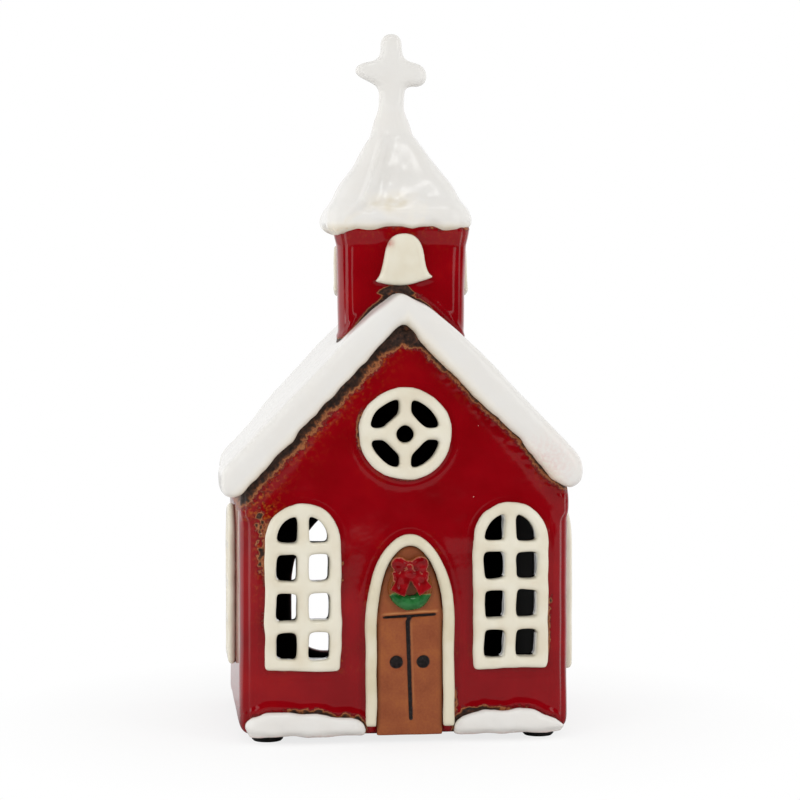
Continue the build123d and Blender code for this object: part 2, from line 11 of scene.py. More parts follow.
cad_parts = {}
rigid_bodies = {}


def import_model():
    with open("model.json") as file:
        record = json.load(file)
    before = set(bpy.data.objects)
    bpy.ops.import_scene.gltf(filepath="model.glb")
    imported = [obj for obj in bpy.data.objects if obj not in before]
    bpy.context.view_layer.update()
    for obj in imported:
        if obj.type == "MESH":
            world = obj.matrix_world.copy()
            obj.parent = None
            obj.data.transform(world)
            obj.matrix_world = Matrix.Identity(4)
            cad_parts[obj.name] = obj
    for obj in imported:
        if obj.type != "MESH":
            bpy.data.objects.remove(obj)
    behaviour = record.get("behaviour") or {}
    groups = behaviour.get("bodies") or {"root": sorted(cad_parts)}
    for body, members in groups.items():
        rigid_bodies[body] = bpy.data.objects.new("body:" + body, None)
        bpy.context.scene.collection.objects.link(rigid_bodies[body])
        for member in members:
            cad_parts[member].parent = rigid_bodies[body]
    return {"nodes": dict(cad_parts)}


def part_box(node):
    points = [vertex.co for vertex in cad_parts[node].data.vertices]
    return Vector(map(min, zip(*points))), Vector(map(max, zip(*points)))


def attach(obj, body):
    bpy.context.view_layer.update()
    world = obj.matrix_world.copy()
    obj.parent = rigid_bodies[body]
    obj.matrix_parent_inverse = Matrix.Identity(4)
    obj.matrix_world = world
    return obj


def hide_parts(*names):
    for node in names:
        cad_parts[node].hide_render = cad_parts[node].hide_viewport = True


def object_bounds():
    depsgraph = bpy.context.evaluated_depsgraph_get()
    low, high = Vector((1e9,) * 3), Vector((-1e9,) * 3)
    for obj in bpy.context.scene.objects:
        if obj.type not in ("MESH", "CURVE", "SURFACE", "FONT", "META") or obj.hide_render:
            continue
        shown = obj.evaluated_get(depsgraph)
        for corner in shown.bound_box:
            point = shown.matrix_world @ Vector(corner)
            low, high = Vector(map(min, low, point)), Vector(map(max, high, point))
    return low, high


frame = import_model()
CAD_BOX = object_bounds()

bl_info = {
    "name": "Village church tealight house",
    "version": (1, 0, 0),
    "blender": (4, 5, 0),
    "location": "3D View > Sidebar > Church",
    "description": "Dresses the packed church in hand-made clay, snow and glaze",
    "category": "Object",
}

MM = 0.001
ROOF_PITCH = math.radians(46.0)
FRONT_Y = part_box("front_wall")[0].y
WALL_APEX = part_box("front_wall")[1].z
HOUSE_X = (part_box("left_wall")[0].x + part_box("right_wall")[1].x) / 2.0
WALL_HALF_WIDTH = HOUSE_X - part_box("left_wall")[0].x
WALL_THICKNESS = 6.0 * MM
BELFRY_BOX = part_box("belfry_tower")
SLOPE_OUT = Vector((math.sin(ROOF_PITCH), 0.0, math.cos(ROOF_PITCH)))
# Height of the snow's lower edge over the walls' slope, and how much lower it hangs on the right, both in
# millimetres
SNOW_EDGE = 3.0
SNOW_DROOP = 1.2
# How far the belfry's left face draws in towards the rear, in millimetres
BELFRY_LEAN = 3.4
# How far a search for the nearest surface looks
SEARCH_REACH = 30.0 * MM

WALLS = ("front_wall", "rear_wall", "left_wall", "right_wall")
SLABS = ("left_roof_slab", "right_roof_slab")
FRONT_WINDOWS = ("front_left_window", "front_right_window")
SIDE_WINDOWS = ("left_window", "right_window")
WINDOWS = FRONT_WINDOWS + SIDE_WINDOWS + ("rose_window",)
BELLS = ("front_bell", "rear_bell", "left_bell", "right_bell")
DRIFTS = ("left_snow_drift", "right_snow_drift")
FEET = ("front_left_foot", "front_right_foot", "rear_left_foot", "rear_right_foot")


def linear(colour):
    """Linear RGB of an sRGB hex colour."""
    parts = [int(colour[i:i + 2], 16) / 255 for i in (1, 3, 5)]
    return tuple(c / 12.92 if c <= 0.04045 else ((c + 0.055) / 1.055) ** 2.4 for c in parts)


def solid(colour):
    """Linear RGBA of an sRGB hex colour."""
    return (*linear(colour), 1.0)


def per(size):
    """Texture scale of a pattern whose features are size millimetres apart, on metre coordinates."""
    return 1.0 / (size * MM)


def smoothstep(low, high, value):
    """0 below low, 1 above high and an even curve between them."""
    t = min(1.0, max(0.0, (value - low) / (high - low)))
    return t * t * (3.0 - 2.0 * t)


def fade(low, high, value):
    """1 below low, 0 above high and an even curve between them."""
    return 1.0 - smoothstep(low, high, value)


def hump(value, width):
    """1 where a value is 0, falling away on both sides."""
    return math.exp(-(value / width) ** 2)


def colour_prop(name, colour, words):
    """A colour that a user may change."""
    return bpy.props.FloatVectorProperty(
        name=name, description=words, subtype="COLOR", size=3, min=0.0, max=1.0, default=linear(colour))


def length_prop(name, size, words):
    """A length that a user may change, in metres."""
    return bpy.props.FloatProperty(name=name, description=words, unit="LENGTH", default=size * MM, min=0.0)


class CHURCH_PG_clay(bpy.types.PropertyGroup):
    """How the hand-made clay departs from the true shape"""

    lump_size: length_prop("Lump size", 17.0, "Distance between the hand's hollows on a slab")
    lump_height: length_prop("Lump height", 0.16, "How far a slab's face rises and falls")
    snow_lump: length_prop("Snow lumps", 0.55, "How far the snow swells and sinks")
    snow_wave: length_prop("Snow edge", 0.85, "How far the lower edge of the snow wanders")
    grille_wander: length_prop("Grille wander", 0.5, "How far cut bars stray from true")
    bare_left: length_prop("Bare clay, left", 4.4, "Width of the bare clay under the left slope's snow")
    bare_right: length_prop("Bare clay, right", 1.6, "Width of the bare clay under the right slope's snow")


class CHURCH_PG_glazes(bpy.types.PropertyGroup):
    """Colours of the glazes and stains"""

    red: colour_prop("Red glaze", "#86020c", "Walls and belfry")
    oxblood: colour_prop("Thick red", "#7a0108", "Where the red pools")
    snow: colour_prop("Snow glaze", "#e0deda", "Snow, cap and cross")
    cream: colour_prop("Cream glaze", "#dfd9c7", "Grilles and bells")
    ivory: colour_prop("Ivory glaze", "#d9d1bb", "Door arch")
    door: colour_prop("Door stain", "#8f4a26", "Door leaf")
    green: colour_prop("Wreath glaze", "#2f6d3a", "Wreath")
    ribbon: colour_prop("Ribbon glaze", "#8c0d14", "Bow")
    clay: colour_prop("Bare clay", "#4a3127", "Roof slabs where the glaze draws back")


class CHURCH_PG_studio(bpy.types.PropertyGroup):
    """Camera, lamps and table"""

    camera_place: bpy.props.FloatVectorProperty(
        name="Camera place", description="Where the camera stands", subtype="TRANSLATION", unit="LENGTH",
        size=3, default=(-0.0821, -0.7514, 0.1347))
    camera_yaw: bpy.props.FloatProperty(
        name="Camera yaw", description="Turn towards the right", subtype="ANGLE", default=0.115)
    camera_pitch: bpy.props.FloatProperty(
        name="Camera pitch", description="Tilt down", subtype="ANGLE", default=0.029)
    lens: bpy.props.FloatProperty(
        name="Lens", description="Focal length on a 36 mm sensor", unit="CAMERA", default=96.05)
    side_power: bpy.props.FloatProperty(
        name="Side lamps", description="Power of each side softbox", subtype="POWER", default=3.0)
    front_power: bpy.props.FloatProperty(
        name="Front lamps", description="Power of each front softbox", subtype="POWER", default=5.7)
    top_power: bpy.props.FloatProperty(
        name="Top lamp", description="Power of the softbox overhead", subtype="POWER", default=0.8)
    fill: bpy.props.FloatProperty(
        name="Fill", description="Even light from all round", default=0.51, min=0.0)


def fill_inputs(tree, node, inputs):
    """Sets a node's inputs to numbers or hex colours, or links them to a socket or another node's result."""
    for socket, source in inputs.items():
        if isinstance(source, str):
            source = solid(source)
        if isinstance(source, bpy.types.Node):
            source = next(output for output in source.outputs if output.enabled)
        if isinstance(source, bpy.types.NodeSocket):
            tree.links.new(source, node.inputs[socket])
        else:
            node.inputs[socket].default_value = source


def add_node(tree, kind, inputs=None, **settings):
    """Adds a shader node, sets it and fills or links its inputs."""
    node = tree.nodes.new("ShaderNode" + kind)
    for key, value in settings.items():
        setattr(node, key, value)
    fill_inputs(tree, node, inputs or {})
    return node


def values_of(tree, *names):
    """The numbers that a piece carries at each vertex."""
    return [add_node(tree, "Attribute", attribute_name=name).outputs["Fac"] for name in names]


def clouds(tree, place, size, detail, **inputs):
    """Noise whose features are size millimetres apart."""
    return add_node(tree, "TexNoise", {"Vector": place, "Scale": per(size), "Detail": detail, **inputs})


def maths(tree, operation, *values, clamp=False):
    """The result of one operation on numbers."""
    return add_node(tree, "Math", dict(enumerate(values)), operation=operation, use_clamp=clamp)


def remap(tree, value, low, high, first=0.0, last=1.0):
    """A number that goes from first to last as a value goes from low to high, and stays between them."""
    return add_node(tree, "MapRange", {
        "Value": value, "From Min": low, "From Max": high, "To Min": first, "To Max": last})


def frayed(tree, value, grain, reach, low, high):
    """A share from 0 to 1 as a value goes from low to high, along a line that a grain frays."""
    return remap(tree, maths(tree, "MULTIPLY_ADD", grain, reach, value), low, high)


def blend(tree, share, first, last):
    """A colour between two others."""
    return add_node(tree, "Mix", {0: share, 6: first, 7: last}, data_type="RGBA")


def ramp(tree, share, stops):
    """The colour at a share along a ramp of places and colours."""
    node = add_node(tree, "ValToRGB", {"Fac": share})
    elements = node.color_ramp.elements
    for i, (place, colour) in enumerate(stops):
        stop = elements[i] if i < 2 else elements.new(place)
        stop.position = place
        stop.color = solid(colour) if isinstance(colour, str) else (*colour, 1.0)
    return node


def relief(tree, height, depth, strength, **inputs):
    """A normal bumped by a height that is depth millimetres deep."""
    return add_node(tree, "Bump", {"Height": height, "Distance": depth * MM, "Strength": strength, **inputs})


def specks(tree, place, size, radius, channel, rarity):
    """1 on small round specks in a few cells of a pattern, and 0 elsewhere."""
    cells = add_node(tree, "TexVoronoi", {"Vector": place, "Scale": per(size)})
    speck = maths(tree, "LESS_THAN", cells, radius)
    chance = add_node(tree, "SeparateColor", {0: cells.outputs["Color"]}).outputs[channel]
    return maths(tree, "MULTIPLY", speck, maths(tree, "GREATER_THAN", chance, rarity))


def new_finish(name, **sockets):
    """A material with its tree, its shader and the object coordinates that patterns use."""
    material = bpy.data.materials.new(name)
    material.use_nodes = True
    tree = material.node_tree
    shader = tree.nodes["Principled BSDF"]
    for socket, value in sockets.items():
        shader.inputs[socket.replace("_", " ")].default_value = value
    return material, tree, shader, tree.nodes.new("ShaderNodeTexCoord").outputs["Object"]


def red_glaze_finish(name, glazes):
    """Iron-red gloss glaze on dark stoneware, dipped and fired: deep, wet and even, brown and crusty where it
    draws back from an edge, with orange mottling next to the bare clay and a few pinholes."""
    material, tree, shader, place = new_finish(name, IOR=1.5)
    edge, near, inside = values_of(tree, "edge_mm", "mottle", "inside")
    crumb = clouds(tree, place, 1.3, 5.0, Roughness=0.65)
    cloud = clouds(tree, place, 14.0, 3.0)
    patch = clouds(tree, place, 1.9, 5.0, Distortion=0.6)
    ragged = maths(tree, "MULTIPLY_ADD", crumb, 3.2, -1.6)
    ragged = maths(tree, "ADD", ragged, edge)
    reach = remap(tree, ragged, -2.0, 2.0)
    broken = ramp(tree, reach, (
        (0.0, "#120b08"), (0.22, "#2b180f"), (0.36, "#57311a"), (0.46, "#96552a"), (0.52, "#a8683c"),
        (0.57, "#6e1c0c"), (0.66, "#5c0307")))
    grit = ramp(tree, crumb, ((0.34, "#150d0a"), (0.46, "#3a251c"), (0.58, glazes.clay), (0.7, "#7a4526")))
    deep = remap(tree, edge, -0.9, -2.0)
    broken = blend(tree, deep, broken, grit)
    red = ramp(tree, cloud, ((0.32, glazes.oxblood), (0.6, glazes.red), (0.78, "#8e070c")))
    rust = remap(tree, patch, 0.48, 0.72)
    rust = maths(tree, "MULTIPLY", rust, near, clamp=True)
    speckle = ramp(tree, crumb, ((0.38, "#1c0d08"), (0.48, "#8a4013"), (0.62, "#b5621f"), (0.72, "#5a2a12")))
    red = blend(tree, rust, red, speckle)
    whole = remap(tree, reach, 0.56, 0.72)
    skin = blend(tree, whole, broken, red)
    pin = specks(tree, place, 6.5, 0.032, 0, 0.62)
    skin = blend(tree, pin, skin, "#d9a79c")
    # Painted shade: the inside of the house and the belfry's hollow are painted near black.
    painted_dark_inside = blend(tree, inside, skin, "#050403")
    gloss = remap(tree, whole, 0.0, 1.0, 0.5, 0.1)
    dull = maths(tree, "ADD", inside, gloss, clamp=True)
    film = maths(tree, "MAXIMUM", crumb, whole)
    bump = relief(tree, film, 0.3, 0.55)
    peel = clouds(tree, place, 5.0, 2.0)
    bump = relief(tree, peel, 0.12, 0.5, Normal=bump)
    fill_inputs(tree, shader, {"Base Color": painted_dark_inside, "Roughness": dull, "Normal": bump})
    return material


def snow_glaze_finish(name, glazes):
    """Tin-white gloss glaze laid on thick: milky and wet, warmer where it runs thin over an edge, with a pink
    blush near the red and a few iron specks."""
    material, tree, shader, place = new_finish(name, IOR=1.5)
    edge, blush = values_of(tree, "edge_mm", "blush")
    cloud = clouds(tree, place, 11.0, 3.0)
    crumb = clouds(tree, place, 1.1, 4.0)
    thin = frayed(tree, edge, crumb, 1.2, 0.4, 4.5)
    white = ramp(tree, thin, (
        (0.0, "#8f6a4a"), (0.05, "#c9b598"), (0.16, "#ddd5c4"), (0.6, "#e5e1d9"), (1.0, glazes.snow)))
    milk = remap(tree, cloud, 0.35, 0.75, 0.0, 0.22)
    white = blend(tree, milk, white, "#ddd6cb")
    stain = remap(tree, crumb, 0.3, 0.75)
    stain = maths(tree, "MULTIPLY", stain, blush, clamp=True)
    white = blend(tree, stain, white, "#d9b3ac")
    speck = specks(tree, place, 9.0, 0.028, 1, 0.8)
    white = blend(tree, speck, white, "#6f6459")
    gloss = remap(tree, thin, 0.0, 0.2, 0.45, 0.2)
    swell = clouds(tree, place, 7.0, 2.0)
    bump = relief(tree, swell, 0.25, 0.5)
    fill_inputs(tree, shader, {"Base Color": white, "Roughness": gloss, "Normal": bump})
    return material


def cream_glaze_finish(name, thin_tone, tone, thick_tone):
    """Cream gloss glaze brushed on the applied reliefs: smooth and buttery, with a thin brown line where it
    stops, and painted near black as shade on the parts inside the house."""
    material, tree, shader, place = new_finish(name, IOR=1.5)
    edge, depth, blush = values_of(tree, "edge_mm", "depth_mm", "blush")
    cloud = clouds(tree, place, 9.0, 3.0)
    crumb = clouds(tree, place, 0.9, 4.0)
    cream = ramp(tree, cloud, ((0.3, thin_tone), (0.55, tone), (0.75, thick_tone)))
    thin = frayed(tree, edge, crumb, 1.0, 0.12, 0.8)
    line = ramp(tree, thin, ((0.0, "#3a2415"), (0.35, "#8f6238"), (0.8, "#c9b48e")))
    skin = blend(tree, thin, line, cream)
    smudge = maths(tree, "MULTIPLY", crumb, blush, clamp=True)
    skin = blend(tree, smudge, skin, "#b04a44")
    # Painted shade: the parts of the grilles that lie inside the house are painted near black.
    dark = frayed(tree, depth, crumb, 1.4, 4.2, 5.2)
    skin = blend(tree, dark, skin, "#0b0807")
    gloss = remap(tree, thin, 0.0, 1.0, 0.5, 0.16)
    swell = clouds(tree, place, 4.0, 2.0)
    bump = relief(tree, swell, 0.12, 0.5)
    fill_inputs(tree, shader, {"Base Color": skin, "Roughness": gloss, "Normal": bump})
    return material


def bare_clay_finish(name, glazes):
    """Bare iron stoneware, fired unglazed: dry, dark and gritty, with rust and black crumbs, warmer to the
    right."""
    material, tree, shader, place = new_finish(name, IOR=1.45, Roughness=0.55)
    grit = clouds(tree, place, 1.0, 6.0, Roughness=0.7)
    cloud = clouds(tree, place, 6.0, 4.0)
    edge = values_of(tree, "edge_mm")[0]
    across = add_node(tree, "SeparateXYZ", {0: place}).outputs["X"]
    warm = remap(tree, across, -8.0 * MM, 24.0 * MM)
    rust = remap(tree, edge, 0.3, 2.2, 0.26, 0.0)
    mix = maths(tree, "MULTIPLY_ADD", warm, 0.2, rust)
    mix = maths(tree, "ADD", grit, mix)
    drift = maths(tree, "MULTIPLY_ADD", cloud, 0.4, -0.2)
    mix = maths(tree, "ADD", mix, drift)
    clay = ramp(tree, mix, (
        (0.3, "#150d0a"), (0.44, "#33211a"), (0.54, glazes.clay), (0.66, "#7a4526"), (0.8, "#a8662f")))
    bump = relief(tree, grit, 0.5, 0.8)
    fill_inputs(tree, shader, {"Base Color": clay, "Normal": bump})
    return material


def door_stain_finish(name, glazes):
    """Caramel slip stain wiped on bare clay: dull and even, black oxide left in the cut lines and knob holes,
    paler on the raised lips, partly as bare clay and partly as a painted highlight, and darker round the rim."""
    material, tree, shader, place = new_finish(name, IOR=1.45, Roughness=0.42)
    depth, rim, lip = values_of(tree, "depth_mm", "edge_mm", "lip")
    grain = clouds(tree, place, 0.8, 5.0)
    cloud = clouds(tree, place, 8.0, 3.0)
    mixed = maths(tree, "MULTIPLY_ADD", grain, 0.5, cloud)
    stain = ramp(tree, mixed, ((0.5, "#84401f"), (0.75, glazes.door), (1.0, "#9c5628")))
    # Painted highlight: the raised lips are painted pale, partly for the light they catch.
    skin = blend(tree, lip, stain, "#c98a52")
    round_rim = remap(tree, rim, 0.2, 1.4, 0.75, 0.0)
    skin = blend(tree, round_rim, skin, "#6e3a10")
    ink = frayed(tree, depth, grain, 0.3, 0.42, 0.62)
    oxide = ramp(tree, grain, ((0.35, "#110e0d"), (0.6, "#241d1d"), (0.75, "#3f3637")))
    skin = blend(tree, ink, skin, oxide)
    bump = relief(tree, grain, 0.15, 0.35)
    fill_inputs(tree, shader, {"Base Color": skin, "Normal": bump})
    return material


def wreath_finish(name, colour, dark, pale):
    """A dab of gloss glaze on the modelled wreath: thick and bright in the hollows, pale and brown-lined
    where it thins over an edge, stopping where the brush stopped."""
    material, tree, shader, place = new_finish(name, IOR=1.5, Roughness=0.1)
    edge = values_of(tree, "edge_mm")[0]
    crumb = clouds(tree, place, 0.8, 4.0)
    cloud = clouds(tree, place, 3.0, 2.0)
    glaze = ramp(tree, cloud, ((0.35, dark), (0.6, colour)))
    thin = frayed(tree, edge, crumb, 0.6, 0.1, 0.8)
    line = ramp(tree, thin, ((0.0, "#7d431f"), (0.4, "#9a6234"), (0.75, pale)))
    skin = blend(tree, thin, line, glaze)
    fill_inputs(tree, shader, {"Base Color": skin})
    return material


def plain_finish(name, low, high, size, rough, bump_mm, **sockets):
    """A finish of two close tones with a grain of its own size, matt to glossy as rough says: black wash,
    moulded rubber, tinned sheet, poured wax or braided cotton."""
    material, tree, shader, place = new_finish(name, **sockets)
    grain = clouds(tree, place, size, 4.0)
    tone = ramp(tree, grain, ((0.35, low), (0.65, high)))
    gloss = remap(tree, grain, 0.0, 1.0, rough * 0.8, rough * 1.2)
    bump = relief(tree, grain, bump_mm, 0.6)
    fill_inputs(tree, shader, {"Base Color": tone, "Roughness": gloss, "Normal": bump})
    return material


def fluted_sheet_finish(name, axis, flutes):
    """Thin aluminium sheet, deep drawn: bright and smooth, with fine upright flutes from the drawing tool."""
    material, tree, shader, place = new_finish(name, Metallic=1.0, Roughness=0.22)
    cloud = clouds(tree, place, 9.0, 2.0)
    tone = ramp(tree, cloud, ((0.35, "#d2d3d5"), (0.65, "#e4e5e7")))
    arm = add_node(tree, "VectorMath", {0: place, 1: tuple(axis)}, operation="SUBTRACT")
    arm = add_node(tree, "SeparateXYZ", {0: arm}).outputs
    turn = maths(tree, "ARCTAN2", arm["Y"], arm["X"])
    turn = maths(tree, "MULTIPLY", turn, flutes)
    ridge = maths(tree, "SINE", turn)
    bump = relief(tree, ridge, 0.12, 0.5)
    fill_inputs(tree, shader, {"Base Color": tone, "Normal": bump})
    return material


def finish_of(name, make, *looks, **sockets):
    """The named finish, made once."""
    return bpy.data.materials.get(name) or make(name, *looks, **sockets)


def cream_glaze(glazes):
    """The finish of grilles and bells."""
    return finish_of("cream_gloss_glaze", cream_glaze_finish, "#d9d0bb", glazes.cream, "#e2ddcd")


def dress(finishes):
    """Gives CAD nodes that stay as they are a finish each."""
    for node, finish in finishes.items():
        mesh = frame["nodes"][node].data
        mesh.materials.clear()
        mesh.materials.append(finish)


def cad_copy(*nodes):
    """A bmesh of copies of CAD nodes, with doubles merged."""
    bm = bmesh.new()
    for node in nodes:
        bm.from_mesh(frame["nodes"][node].data)
    bmesh.ops.remove_doubles(bm, verts=bm.verts, dist=0.002 * MM)
    return bm


def knead(bm, voxel, passes):
    """Remakes a bmesh as one even skin of clay and softens its edges."""
    mesh = bpy.data.meshes.new("clay")
    bm.to_mesh(mesh)
    block = bpy.data.objects.new("clay", mesh)
    bpy.context.scene.collection.objects.link(block)
    skin = block.modifiers.new("Skin", "REMESH")
    skin.mode = "VOXEL"
    skin.voxel_size = voxel * MM
    skinned = bpy.data.meshes.new_from_object(block.evaluated_get(bpy.context.evaluated_depsgraph_get()))
    bm.clear()
    bm.from_mesh(skinned)
    bpy.data.objects.remove(block)
    bpy.data.meshes.remove(mesh)
    bpy.data.meshes.remove(skinned)
    soften(bm, passes)
    return bm


def soften(bm, passes):
    """Smooths a skin a few times."""
    for _ in range(passes):
        bmesh.ops.smooth_vert(
            bm, verts=bm.verts, factor=0.5, use_axis_x=True, use_axis_y=True, use_axis_z=True)
    bm.normal_update()


def round_corners(bm, middle, half, radius):
    """Rounds the upright corners of a box as a wet sponge does, to a radius in millimetres."""
    for v in bm.verts:
        past = [abs(v.co[axis] - middle[axis]) - half[axis] + radius * MM for axis in (0, 1)]
        if min(past) > 0.0:
            pull = 1.0 - max(past) / math.hypot(*past)
            for axis in (0, 1):
                v.co[axis] -= math.copysign(past[axis] * pull, v.co[axis] - middle[axis])
    bm.normal_update()


def wave(place, size, seed):
    """Even noise from -1 to 1 whose hills are about size millimetres apart."""
    return noise.noise(place / (size * MM) + Vector((seed * 7.31, seed * 3.17, seed * 5.53)))


def push(moves):
    """Moves vertices by what was worked out before any of them had moved."""
    for v, move in moves:
        v.co += move


def hand_lumps(bm, size, height, seed):
    """Raises and sinks a skin by the marks of hands."""
    bm.normal_update()
    push([(v, v.normal * (height * wave(v.co, size, seed))) for v in bm.verts])


def add_ball(bm, place, wide, deep, tall):
    """Adds a ball of clay with half sizes in millimetres where a matrix puts it."""
    bmesh.ops.create_uvsphere(
        bm, u_segments=24, v_segments=16, radius=MM, matrix=place @ Matrix.Diagonal((wide, deep, tall, 1.0)))


def add_block(bm, place, long, deep, tall):
    """Adds a block of clay where a matrix puts it."""
    bmesh.ops.create_cube(bm, size=1.0, matrix=place @ Matrix.Diagonal((long, deep, tall, 1.0)))


def wander(bm, size, reach, seed, fixed=""):
    """Bends a piece in its own plane, as hand-cut bars stray; fixed names the axes that stay."""
    for v in bm.verts:
        for axis, name in enumerate("xyz"):
            if name not in fixed:
                v.co[axis] += reach * wave(v.co, size, seed + axis)


def search_tree(bm):
    """A search tree over a bmesh, which it frees."""
    tree = BVHTree.FromBMesh(bm)
    bm.free()
    return tree


def tree_of(*nodes):
    """A search tree over CAD nodes."""
    return search_tree(cad_copy(*nodes))


def tree_of_pieces(*names):
    """A search tree over finished pieces."""
    bm = bmesh.new()
    for name in names:
        bm.from_mesh(bpy.data.objects[name].data)
    return search_tree(bm)


def gap(tree, place):
    """Distance in millimetres from a place to what a search tree holds."""
    found = tree.find_nearest(place, SEARCH_REACH)[3]
    return (SEARCH_REACH if found is None else found) / MM


def roof_gap(place):
    """How far below the top of the walls a place is, in millimetres, square to the slope."""
    out = (place.z - WALL_APEX) * SLOPE_OUT.z + abs(place.x - HOUSE_X) * SLOPE_OUT.x
    return -out / MM


def right_share(place):
    """0 on the left slope, 1 on the right one and an even change over the ridge."""
    return smoothstep(-5.0, 5.0, (place.x - HOUSE_X) / MM)


def belfry_lean(place):
    """How far the belfry's left face draws in towards the rear."""
    low, high = BELFRY_BOX
    left = fade(low.x, (low.x + high.x) / 2.0, place.x)
    return BELFRY_LEAN * MM * left * smoothstep(low.y + 3.0 * MM, high.y, place.y)


def between(table, value):
    """Reads a table of pairs at a value, straight between its rows."""
    for (low, first), (high, second) in zip(table, table[1:]):
        if value <= high:
            return first + (second - first) * max(0.0, (value - low) / (high - low))
    return table[-1][1]


def set_values(bm, **values):
    """Writes the numbers that the finishes read at each vertex: a constant, or a function of the vertex.
    edge_mm is how far the glaze is from its edge and depth_mm how far behind the front face it lies, both in
    millimetres, and the others are shares from 0 to about 1."""
    for name, value in values.items():
        layer = bm.verts.layers.float.new(name)
        for v in bm.verts:
            v[layer] = value(v) if callable(value) else value


def sharpness(v):
    """How sharply the skin turns outwards at a vertex: 0 on a flat, about 1 on a square edge."""
    total = 0.0
    for e in v.link_edges:
        along = e.other_vert(v).co - v.co
        total -= v.normal.dot(along) / max(along.length, 1e-9)
    return total / max(1, len(v.link_edges))


def close_in(bm, picks):
    """Halves the mesh size between the vertices that a test picks, where fine glaze lines need it."""
    edges = [e for e in bm.edges if picks(e.verts[0]) and picks(e.verts[1])]
    bmesh.ops.subdivide_edges(bm, edges=edges, cuts=1, use_grid_fill=True)
    bm.normal_update()


def piece(bm, name, body, slot, finish, *nodes):
    """Makes the finished object: inside the CAD box, smooth, riding a body and standing for its nodes."""
    low, high = CAD_BOX
    for v in bm.verts:
        for axis in range(3):
            v.co[axis] = min(high[axis], max(low[axis], v.co[axis]))
    for f in bm.faces:
        f.smooth = True
    if not bm.faces:
        raise RuntimeError(f"{name} came out empty")
    mesh = bpy.data.meshes.new(name)
    bm.to_mesh(mesh)
    bm.free()
    mesh.materials.append(finish)
    obj = bpy.data.objects.new(name, mesh)
    bpy.context.scene.collection.objects.link(obj)
    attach(obj, body)
    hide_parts(*nodes)


def spot(place, x, z, wide, tall):
    """A soft spot of 1 at a place on the front, in millimetres."""
    return math.exp(-((place.x / MM - x) / wide) ** 2 - ((place.z / MM - z) / tall) ** 2)


